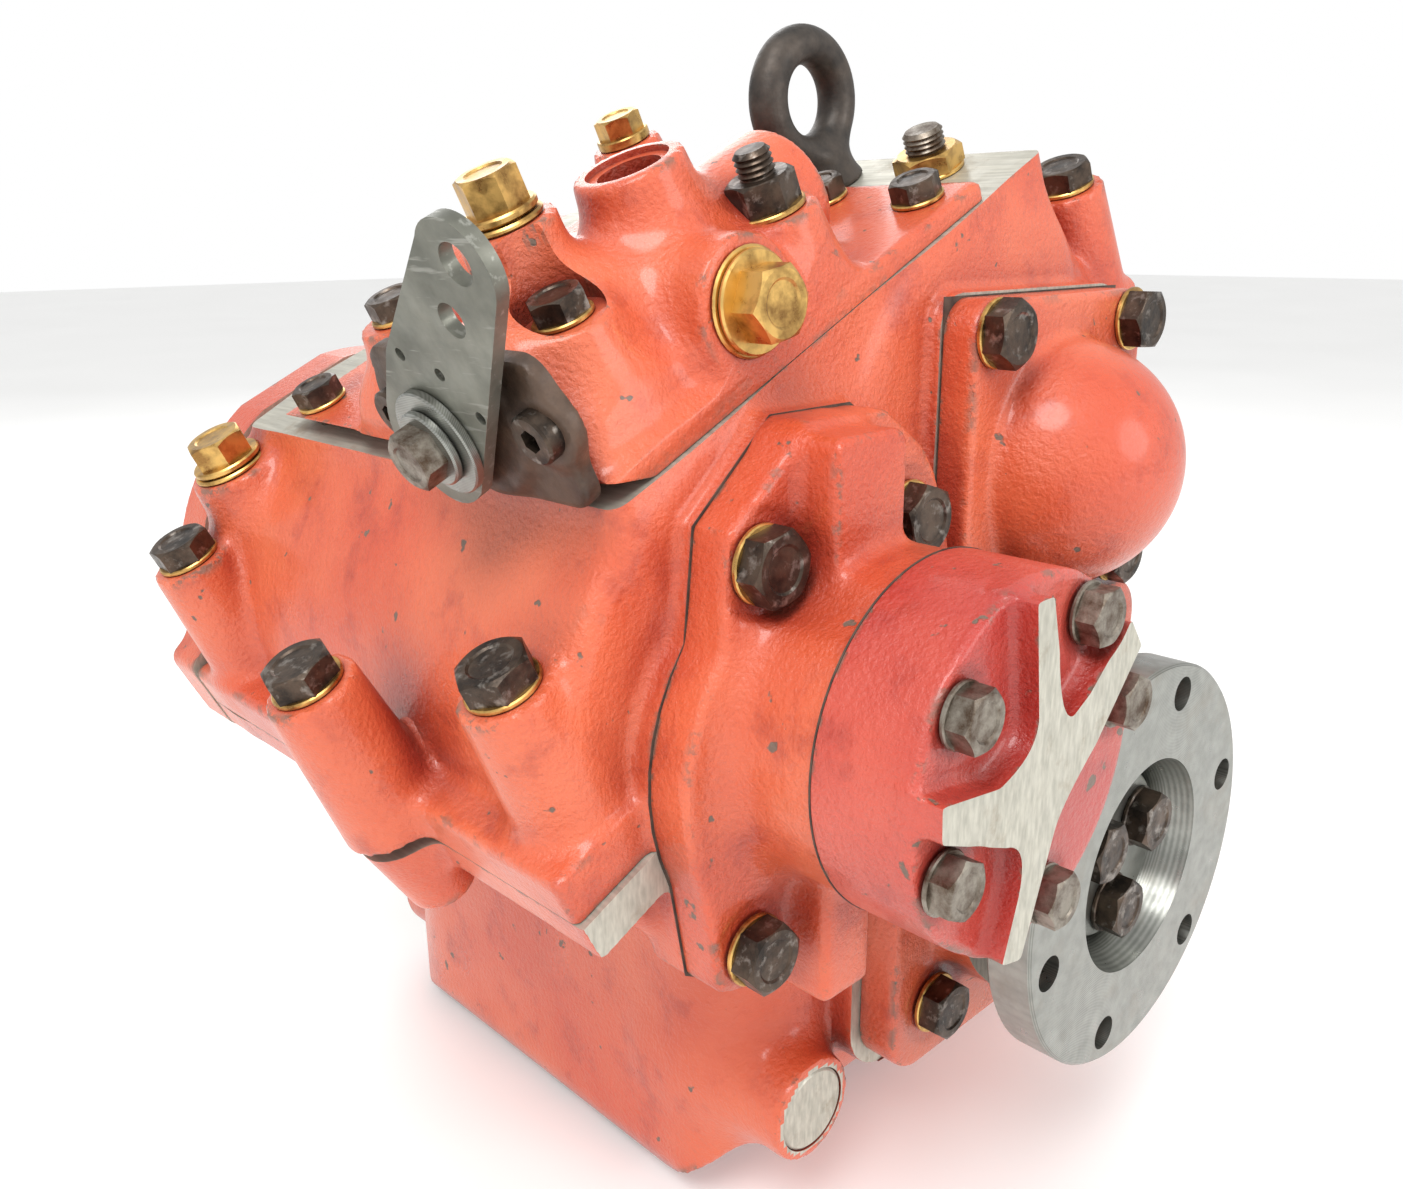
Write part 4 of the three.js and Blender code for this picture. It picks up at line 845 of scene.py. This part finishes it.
machine(output, [
    box_solid(-120, 160, 0, OUTPUT_FLANGE["hub_front"], -160, 260),
    box_solid(-120, 160, SEAT, 120, -160, 260),
    prism_solid(circle(OUTPUT, 36), 0, 43),
    prism_solid(circle(OUTPUT, 38.2), 42.5, 90),
])
face_slots(output, [(FRONT, -OUTPUT_FLANGE["hub_front"]), (REAR, SEAT)])
finish_piece(output, "case", ["output_housing"], "red_paint", ENAMEL, MILLED)

# ---------------------------------------------------------------- engine-side housing
REAR_FRONT, REAR_FACE = CASE_REAR + GAP, CASE_REAR + 18
g = Grid((-192, 258, -112), (146, 284, 210), VOXEL)
field = barrels(g, BARREL_R + 2, REAR_FRONT - 2, REAR_FACE + 2, 1)
skirt = extrude(
    rect(g.x, g.z, SUMP["left"] + 13, SUMP["right"] - 13, SUMP["bottom"] + 12, 120, 20),
    g.y, REAR_FRONT - 2, REAR_FACE + 2, 1,
)
ears = block(g, -142, 144, REAR_FRONT - 2, REAR_FACE + 2, SPLIT_W - 14, SPLIT_W + 16, 4, 1)
field = blend_in(blend_in(field, skirt, 12), ears, 12)

rear = cast("engine_housing_casting", g, field)
REAR_BOLTS = [
    (INPUT[0] + 66 * math.cos(a), INPUT[1] + 66 * math.sin(a))
    for a in np.radians(range(20, 200, 40))
]
REAR_BOLTS += [(LX - 52, LZ + 30), (LX - 62, LZ - 22), (-84, -40), (-60, -92)]
REAR_BOLTS += [(56, -92), (70, -30), (76, 60)]
machine(rear, [
    box_solid(-260, 260, 200, REAR_FRONT, -160, 260),
    box_solid(-260, 260, REAR_FACE, 320, -160, 260),
    prism_solid(circle(INPUT, 24), 200, 320),
    prism_solid(circle(INPUT, 44, 64), REAR_FACE - 4, 320),
    *[prism_solid(circle(at, 4.2, 20), REAR_FACE - 12, 320) for at in REAR_BOLTS],
    *[prism_solid(circle(at, 20), 200, REAR_FRONT + 6) for at in (LAYSHAFT, OUTPUT)],
    tilted(box_solid(-260, -30, 200, 320, COVER_W - 2, 260)),
])
face_slots(rear, [(REAR, REAR_FACE), (REAR, REAR_FACE - 4), (FRONT, -REAR_FRONT)])
finish_piece(rear, "case", ["engine_housing"], "red_paint", ENAMEL, MILLED)


# ---------------------------------------------------------------- fasteners and turned pieces
TO_FRONT = Matrix.Rotation(math.radians(90), 3, "X")
TO_LEFT = TILT @ Matrix.Rotation(math.radians(-90), 3, "Y")


def lathe(profile, count=36):
    """Solid of revolution about Z from (radius, z) pairs; radius 0 closes an end."""
    points, faces, rings = [], [], []
    for radius, z in profile:
        if radius == 0:
            rings.append([len(points)])
            points.append((0, 0, z))
            continue
        rings.append(list(range(len(points), len(points) + count)))
        points += [(x, y, z) for x, y in circle((0, 0), radius, count)]
    closed = profile[0][0] > 0
    pairs = list(zip(rings, rings[1:])) + ([(rings[-1], rings[0])] if closed else [])
    for a, b in pairs:
        for i in range(count):
            j = (i + 1) % count
            if len(a) == 1:
                faces.append((a[0], b[i], b[j]))
            elif len(b) == 1:
                faces.append((a[i], a[j], b[0]))
            else:
                faces.append((a[i], a[j], b[j], b[i]))
    return points, faces


def hex_head(across, height, base=0.0, dish=True):
    """Forged hexagon with a chamfered, dished top."""
    count, apothem = 60, across / 2
    flat_r = apothem * 0.96
    rings = [[], []]
    for i in range(count):
        angle = i * 2 * math.pi / count
        radius = apothem / math.cos((angle % (math.pi / 3)) - math.pi / 6)
        drop = max(radius - flat_r, 0) * math.tan(math.radians(30))
        for ring, z in zip(rings, (base, base + height - drop)):
            ring.append((radius * math.cos(angle), radius * math.sin(angle), z))
    top = [(flat_r, base + height)]
    if dish:
        top += [(flat_r * 0.74, base + height), (flat_r * 0.66, base + height - 0.45)]
    top.append((0, base + height - (0.45 if dish else 0)))
    points = rings[0] + rings[1]
    for radius, z in top[:-1]:
        points += [(x, y, z) for x, y in circle((0, 0), radius, count)]
    layers = len(points) // count
    faces = [tuple(range(count - 1, -1, -1))]
    for layer in range(layers - 1):
        for i in range(count):
            j = (i + 1) % count
            a, b = layer * count, (layer + 1) * count
            faces.append((a + i, a + j, b + j, b + i))
    points.append((0, 0, top[-1][1]))
    last = (layers - 1) * count
    faces += [(last + i, last + (i + 1) % count, len(points) - 1) for i in range(count)]
    return points, faces


def washer(r_in, r_out, z0, z1, edge=0.35, count=40):
    return lathe([
        (r_in, z0), (r_out - edge, z0), (r_out, z0 + edge), (r_out, z1 - edge),
        (r_out - edge, z1), (r_in, z1),
    ], count)


def threaded(radius, z0, z1, pitch=1.5, depth=0.7):
    """Stud whose ridges stand for the thread."""
    profile = [(0, z0)]
    z = z0
    while z + pitch <= z1:
        profile += [(radius - depth, z), (radius, z + pitch / 2)]
        z += pitch
    return profile + [(radius - depth, z), (radius - depth - 0.4, z1), (0, z1)]


def assemble(name, parts, turn, at, body, replaced, slot, materials, spin=0.0):
    """One piece from several shells; each part is ((points, faces), material index)."""
    turn = turn @ Matrix.Rotation(spin, 3, "Z")
    points, faces, slots = [], [], []
    for (part_points, part_faces), index in parts:
        start = len(points)
        points += [tuple(turn @ Vector(p) + Vector(at)) for p in part_points]
        faces += [tuple(start + i for i in face) for face in part_faces]
        slots += [index] * len(part_faces)
    obj = new_object(name, points, faces)
    obj.data.polygons.foreach_set("material_index", slots)
    return finish_piece(obj, body, replaced, slot, *materials, angle=28)


def bolt_parts(across, head, ring, washer_r, shank, length):
    return [
        (hex_head(across, head, ring), 0),
        (washer(shank + 0.4, washer_r, GAP / 3, ring), 1),
        (lathe([(0, -length), (shank, -length), (shank, ring), (0, ring)], 20), 0),
    ]


M10_BOLT = bolt_parts(17, M10_HEAD, M10_WASHER, 9.8, 5, 20)
M8_BOLT = bolt_parts(13, M8_HEAD, M8_WASHER, 7.8, 4, 14)


def front_bolts(stem, count, parts, stack, spin, materials, body="case"):
    """Bolts whose heads face the front; stack is the height of head and washer."""
    for i in range(count):
        name = f"{stem}_{i + 1}"
        extent = design_extent(name)
        at = (middle(extent, 0), extent[1][0] + stack, middle(extent, 2))
        turned = spin + 0.5 * i
        assemble(f"{name}_fastener", parts, TO_FRONT, at, body, [name], "bolt_steel", materials, turned)


front_bolts("pump_flange_bolt", 3, M10_BOLT, M10_HEAD + M10_WASHER, 0.2, (BOLT, GOLD))
front_bolts("output_housing_bolt", 3, M10_BOLT, M10_HEAD + M10_WASHER, 0.35, (BOLT, GOLD))
front_bolts("dome_bolt", 4, M10_BOLT, M10_HEAD + M10_WASHER, 0.5, (BOLT, GOLD))
front_bolts("pump_cover_bolt", 5, M8_BOLT, M8_HEAD + M8_WASHER, 0.1, (WORN_BOLT, WORN_BOLT))
front_bolts("coupling_bolt", 3, M10_BOLT, M10_HEAD + M10_WASHER, 0.4, (BOLT, BOLT), "output")



def stand(name, parts, seat, replaced, slot, materials, spin=0.0):
    """Case piece that stands upright on a seat given as (u, y, w)."""
    assemble(name, parts, TILT, TILT @ Vector(seat), "case", replaced, slot, materials, spin)


for stem, seats, parts, step in (
    ("case_bolt", case_seats, M10_BOLT, 0.25), ("top_cover_bolt", cover_seats, M8_BOLT, 0.35),
):
    for i, seat in enumerate(seats):
        name = f"{stem}_{i + 1}"
        stand(f"{name}_fastener", parts, seat, [name], "bolt_steel", (BOLT, GOLD), step * i)

relief_x, relief_z = level(*RELIEF)
PLUGS = [
    # name, seat, turn, across, head, collar radius, collar height
    ("detent_plug", TILT @ Vector(detent_seat), TILT, 14, 9, 10, 4),
    ("breather_plug", TILT @ Vector(breather_seat), TILT, 17, 8, 12, 4),
    ("relief_plug", Vector((relief_x, CASE_FRONT, relief_z)), TO_FRONT, 17, 8, 13.5, 3),
]
for name, at, turn, across, head, collar_r, collar_h in PLUGS:
    parts = [
        (hex_head(across, head, collar_h), 0),
        (washer(7, collar_r, 0.1, collar_h * 0.42, 0.5), 0),
        (washer(7, collar_r * 0.94, collar_h * 0.5, collar_h + 0.1, 0.5), 0),
        (lathe([(0, -12), (7, -12), (7, collar_h), (0, collar_h)], 24), 0),
    ]
    assemble(f"{name}_turned", parts, turn, at, "case", [name], "brass", (GOLD,), 0.2)

rear_plug = [
    (hex_head(13, 6, 3), 0),
    (washer(5, 8.6, 0.1, 3, 0.4), 0),
    (lathe([(0, -8), (5, -8), (5, 3), (0, 3)], 20), 0),
]
stand("chest_plug", rear_plug, REAR_BOSS, [], "brass", (GOLD,), 0.3)

stud_parts = [
    (hex_head(16, 8, 1.6, dish=False), 0),
    (washer(5.4, 10, 0.1, 1.6), 1),
    (lathe(threaded(5, -14, 16.5), 28), 0),
]
stand("oil_stud_nut", stud_parts, stud_seat, ["oil_stud"], "bolt_steel", (BOLT, GOLD), 0.25)

adapter = tilted_extent("oil_adapter")
adapter_seat = (middle(adapter, 0), middle(adapter, 1), COVER_W)
adapter_parts = [
    (hex_head(19, 6, 1.4, dish=False), 0),
    (washer(6, 10.5, 0.1, 1.4), 0),
    (lathe(threaded(6.3, -9, 14), 32), 1),
]
stand(
    "oil_adapter_union", adapter_parts, adapter_seat, ["oil_adapter"], "brass", (GOLD, WORN_BOLT), 0.1,
)


def socket_screw(radius, height, socket_across):
    """Cap screw with a hexagon socket; the socket's sides are part of the same shell."""
    count = 48
    socket = []
    for i in range(count):
        angle = i * 2 * math.pi / count
        reach = socket_across / 2 / math.cos((angle % (math.pi / 3)) - math.pi / 6)
        socket.append((reach * math.cos(angle), reach * math.sin(angle)))
    rings = [
        [(x, y, 0.0) for x, y in circle((0, 0), radius, count)],
        [(x, y, height - 0.6) for x, y in circle((0, 0), radius, count)],
        [(x, y, height) for x, y in circle((0, 0), radius - 0.6, count)],
        [(x, y, height) for x, y in socket],
        [(x, y, height * 0.45) for x, y in socket],
    ]
    points = [p for ring in rings for p in ring]
    faces = [tuple(range(count - 1, -1, -1)), tuple(range(4 * count, 5 * count))]
    for layer in range(4):
        for i in range(count):
            j = (i + 1) % count
            a, b = layer * count, (layer + 1) * count
            faces.append((a + i, a + j, b + j, b + i))
    return points, faces


for i, y in enumerate(SCREW_YS):
    at = TILT @ Vector((HOUSING_RIGHT - 3.1, y, SCREW_W))
    screw = [(socket_screw(6.3, 6.2, 5.2), 0)]
    assemble(f"housing_screw_{i + 1}", screw, TO_LEFT, at, "case", [], "bolt_steel", (BOLT,))
u, y, w = SET_SCREW
set_screw = [(socket_screw(5.2, 2.6, 4.6), 0)]
stand("chest_set_screw", set_screw, (u, y, w - 1.2), [], "bolt_steel", (BOLT,))

# ---------------------------------------------------------------- lifting eye
eye = tilted_extent("eyebolt")
eye_u, eye_y = middle(eye, 0), middle(eye, 1)
EYE_W, EYE_R, EYE_TUBE = COVER_W + 28, 16.5, 6.0
g = Grid((-40, 112, 170), (40, 154, 254), 0.8)
across = np.hypot(g.u - eye_u, g.w - EYE_W)
field = np.hypot(across - EYE_R, (g.y - eye_y) * 0.95) - EYE_TUBE
field = blend_in(field, post(g, eye_u, eye_y, COVER_W + GAP, COVER_W + 9, 13, 7.5, 0.8), 9)
eyebolt = cast("eyebolt_forging", g, field)
machine(eyebolt, [tilted(box_solid(40, 140, 90, 180, 140, COVER_W + 0.2))])
finish_piece(eyebolt, "case", ["eyebolt"], "eyebolt_iron", SCALE)

# ---------------------------------------------------------------- output coupling and its neighbours


def lathe_y(profile, count=96):
    """Solid of revolution about the output axis from (radius, y) pairs."""
    points, faces = lathe(profile, count)
    return [(x, z, y) for x, y, z in points], faces


COUPLING = [
    (34, 0), (62.6, 0), (63.5, 0.9), (63.5, 13.4), (62.9, 14), (36, 14), (31.4, 19), (30.7, 21),
    (30.7, 43.5), (23.1, 43.5), (23.1, 20), (29, 19), (29, 13), (32, 8),
]
coupling = new_object("output_coupling_turned", *lathe_y(COUPLING))
PITCH_R, HOLE_R, FIRST_HOLE = 107.95 / 2, 5.4, 0.28
holes = [FIRST_HOLE + i * math.pi / 3 for i in range(6)]
centres = [(PITCH_R * math.sin(a), PITCH_R * math.cos(a)) for a in holes]
machine(coupling, [prism_solid(circle(at, HOLE_R, 32), -5, 30) for at in centres])
finish_piece(coupling, "output", ["output_coupling"], "bright_steel", STEEL)

retainer_bolts = [design_extent(f"coupling_bolt_{i + 1}") for i in range(3)]
RETAINER = [(3, 10.5), (26.4, 10.5), (27, 11.1), (27, 18.7), (3, 18.7)]
retainer = new_object("coupling_retainer_plate", *lathe_y(RETAINER, 72))
machine(retainer, [
    prism_solid(circle((middle(b, 0), middle(b, 2)), 5.6, 24), 0, 36) for b in retainer_bolts
])
finish_piece(retainer, "output", ["coupling_retainer"], "bright_steel", STEEL)

seal = new_object("output_seal_ring", *lathe_y([
    (31.4, 31), (33, 30.5), (35.4, 30.5), (35.4, 39.5), (31.8, 39.5), (31.2, 35),
], 72))
finish_piece(seal, "case", ["output_seal"], "seal_rubber", RUBBER)

disc_profile = [(0, 56.7), (13, 56.7), (13, 54.6), (12.2, 54.0), (0, 54.0)]
points, faces = lathe_y(disc_profile, 48)
disc = new_object("strainer_cap", [(x + STRAINER[0], y, z + STRAINER[1]) for x, y, z in points], faces)
finish_piece(disc, "case", ["strainer_disc"], "bright_steel", MILLED)

# ---------------------------------------------------------------- selector lever
LEAN, LEVER_OUT, LEVER_IN = math.radians(41.8), -95.5, -92.0
LEVER_TIP, LEVER_REACH = 11.0, 57.0


def on_lever(made):
    """Carries a drawing (across, thickness, along) onto the leaning lever."""
    points, faces = made
    moved = []
    for across, thick, along in points:
        y = SELECTOR_Y + across * math.cos(LEAN) - along * math.sin(LEAN)
        w = SELECTOR_W + across * math.sin(LEAN) + along * math.cos(LEAN)
        moved.append(tuple(TILT @ Vector((thick, y, w))))
    return moved, faces


tip = [
    (LEVER_TIP * math.cos(a), LEVER_REACH + LEVER_TIP * math.sin(a))
    for a in np.linspace(0, math.pi, 25)
]
lever_outline = outline((-13, -8), (-10, -23, 3, -23), (18, -23, 19, -6), (19, 14)) + tip
lever = new_object("selector_lever_plate", *on_lever(prism_solid(lever_outline, LEVER_OUT, LEVER_IN)))
LEVER_HOLES = [  # across, along, radius
    (0, 59, 4.6), (0, 42.5, 4), (0, 0, 6.4), (14.5, 16.7, 1.6), (2.4, 22, 1.6), (-10.2, 19.8, 1.6),
]
machine(lever, [
    on_lever(prism_solid(circle((x, z), radius, 32), LEVER_OUT - 5, LEVER_IN + 5))
    for x, z, radius in LEVER_HOLES
])
rounding = lever.modifiers.new("edge", "BEVEL")
rounding.width = 0.5 * MM
rounding.segments = 2
rounding.limit_method = "ANGLE"
finish_piece(lever, "selector", ["selector_lever"], "lever_steel", PLATE)

shaft_parts = [
    (hex_head(13, 6, 5), 0),
    (washer(6, 13.5, 0.1, 2.6, 0.4), 1),
    (washer(6, 9.6, 2.8, 5, 0.5), 1),
    (lathe([(0, 5.2), (6, 5.2), (6, -3.8), (7.4, -3.8), (7.4, -53), (0, -53)], 32), 1),
]
at = TILT @ Vector((LEVER_OUT, SELECTOR_Y, SELECTOR_W))
assemble(
    "selector_shaft_end", shaft_parts, TO_LEFT, at, "selector", ["selector_shaft"],
    "bright_steel", (WORN_BOLT, STEEL), 0.3,
)

# ---------------------------------------------------------------- gaskets
def grown(points, amount):
    """Outline moved outwards along its corners' normals."""
    moved = []
    for i, (x, z) in enumerate(points):
        (ax, az), (bx, bz) = points[i - 1], points[(i + 1) % len(points)]
        ex, ez = bx - ax, bz - az
        length = math.hypot(ex, ez)
        moved.append((x + amount * ez / length, z - amount * ex / length))
    return moved


def gasket(name, points, y0, y1):
    area = sum(ax * bz - bx * az for (ax, az), (bx, bz) in zip(points, points[1:] + points[:1]))
    made = new_object(name, *prism_solid(grown(points, 0.7 if area > 0 else -0.7), y0, y1))
    return finish_piece(made, "case", [], "seal_rubber", GASKET)


gasket("pump_flange_gasket", PUMP_FLANGE, SEAT + 0.03, PAD_FRONT - 0.03)
joint_front, joint_rear = PUMP_JOINT - GAP + 0.05, PUMP_JOINT + GAP - 0.05
gasket("pump_cover_gasket", circle(LAYSHAFT, PUMP_R - 0.5, 96), joint_front, joint_rear)
half = DOME["half"]
dome_points = [
    (DOME["x"] + sx * half, DOME["z"] + sz * half)
    for sx, sz in ((-1, -1), (1, -1), (1, 1), (-1, 1))
]
gasket("dome_cover_gasket", dome_points, SEAT + 0.03, PAD_FRONT - 0.03)

# ---------------------------------------------------------------- carried-over running gear
for name in (
    "bull_gear", "output_shaft", "forward_drum", "reverse_drum", "forward_pinion", "reverse_pinion",
    "forward_plates", "reverse_plates", "input_shaft", "layshaft", "pump_idler", "output_bearing",
):
    nodes[name].data.materials.clear()
    nodes[name].data.materials.append(GEAR)

# ---------------------------------------------------------------- studio
AZIMUTH, ELEVATION, ROLL = math.radians(43.948), math.radians(16.711), math.radians(-0.505)
CAMERA_AT = (-323.67, -143.03, 185.87)
FOCAL_PX, IMAGE_WIDTH = 1204.3, 1403

camera_data = bpy.data.cameras.new("camera")
camera_data.sensor_width = 36
camera_data.lens = 36 * FOCAL_PX / IMAGE_WIDTH
camera = bpy.data.objects.new("camera", camera_data)
scene.collection.objects.link(camera)
forward = Vector((
    math.sin(AZIMUTH) * math.cos(ELEVATION),
    math.cos(AZIMUTH) * math.cos(ELEVATION),
    -math.sin(ELEVATION),
))
level_right = Vector((math.cos(AZIMUTH), -math.sin(AZIMUTH), 0))
level_up = level_right.cross(forward)
right = level_right * math.cos(ROLL) + level_up * math.sin(ROLL)
up = right.cross(forward)
camera.matrix_world = Matrix.Translation(ORIGIN + Vector(CAMERA_AT) * MM) @ Matrix(
    (right, up, -forward)).transposed().to_4x4()
scene.camera = camera
MIDDLE = (0.0, 0.0, 0.2)


def area_light(name, place, size, power):
    data = bpy.data.lights.new(name, "AREA")
    data.shape = "DISK"
    data.size = size
    data.energy = power
    light = bpy.data.objects.new(name, data)
    light.location = place
    light.rotation_euler = (Vector(MIDDLE) - Vector(place)).to_track_quat("-Z", "Y").to_euler()
    scene.collection.objects.link(light)


area_light("key", (-0.9, -0.5, 1.5), 0.8, 19)
area_light("front", (0.5, -1.6, 0.8), 0.9, 9)
area_light("rear", (0.9, 1.4, 1.2), 1.2, 9)

scene.view_settings.view_transform = "Standard"
STUDIO_LIGHT, BACKDROP_LIGHT = 0.80, 1.0
world = bpy.data.worlds.new("studio")
scene.world = world
world.use_nodes = True
world.node_tree.nodes["Background"].inputs["Color"].default_value = (1, 1, 1, 1)
backdrop = world.node_tree.nodes["Background"].inputs["Strength"]
seen = world.node_tree.nodes.new("ShaderNodeLightPath").outputs["Is Camera Ray"]
studio = world.node_tree.nodes.new("ShaderNodeMapRange")
studio.inputs["To Min"].default_value = STUDIO_LIGHT
studio.inputs["To Max"].default_value = BACKDROP_LIGHT
world.node_tree.links.new(seen, studio.inputs["Value"])
world.node_tree.links.new(studio.outputs["Result"], backdrop)


def floor_paint(wires, shader):
    tone = wires.ramp(wires.noise(3, 3), (0.3, (0.80, 0.80, 0.79)), (0.7, (0.84, 0.84, 0.83)))
    shader.inputs["Emission Color"].default_value = (1, 1, 1, 1)
    shader.inputs["Emission Strength"].default_value = 0.18
    wires.link(tone, shader.inputs["Base Color"])
    shader.inputs["Roughness"].default_value = 0.7


floor_mesh = bpy.data.meshes.new("floor")
floor_mesh.from_pydata([(-8, -8, 0), (8, -8, 0), (8, 8, 0), (-8, 8, 0)], [], [(0, 1, 2, 3)])
floor = bpy.data.objects.new("floor", floor_mesh)
floor_mesh.materials.append(material("studio_floor", floor_paint))
scene.collection.objects.link(floor)
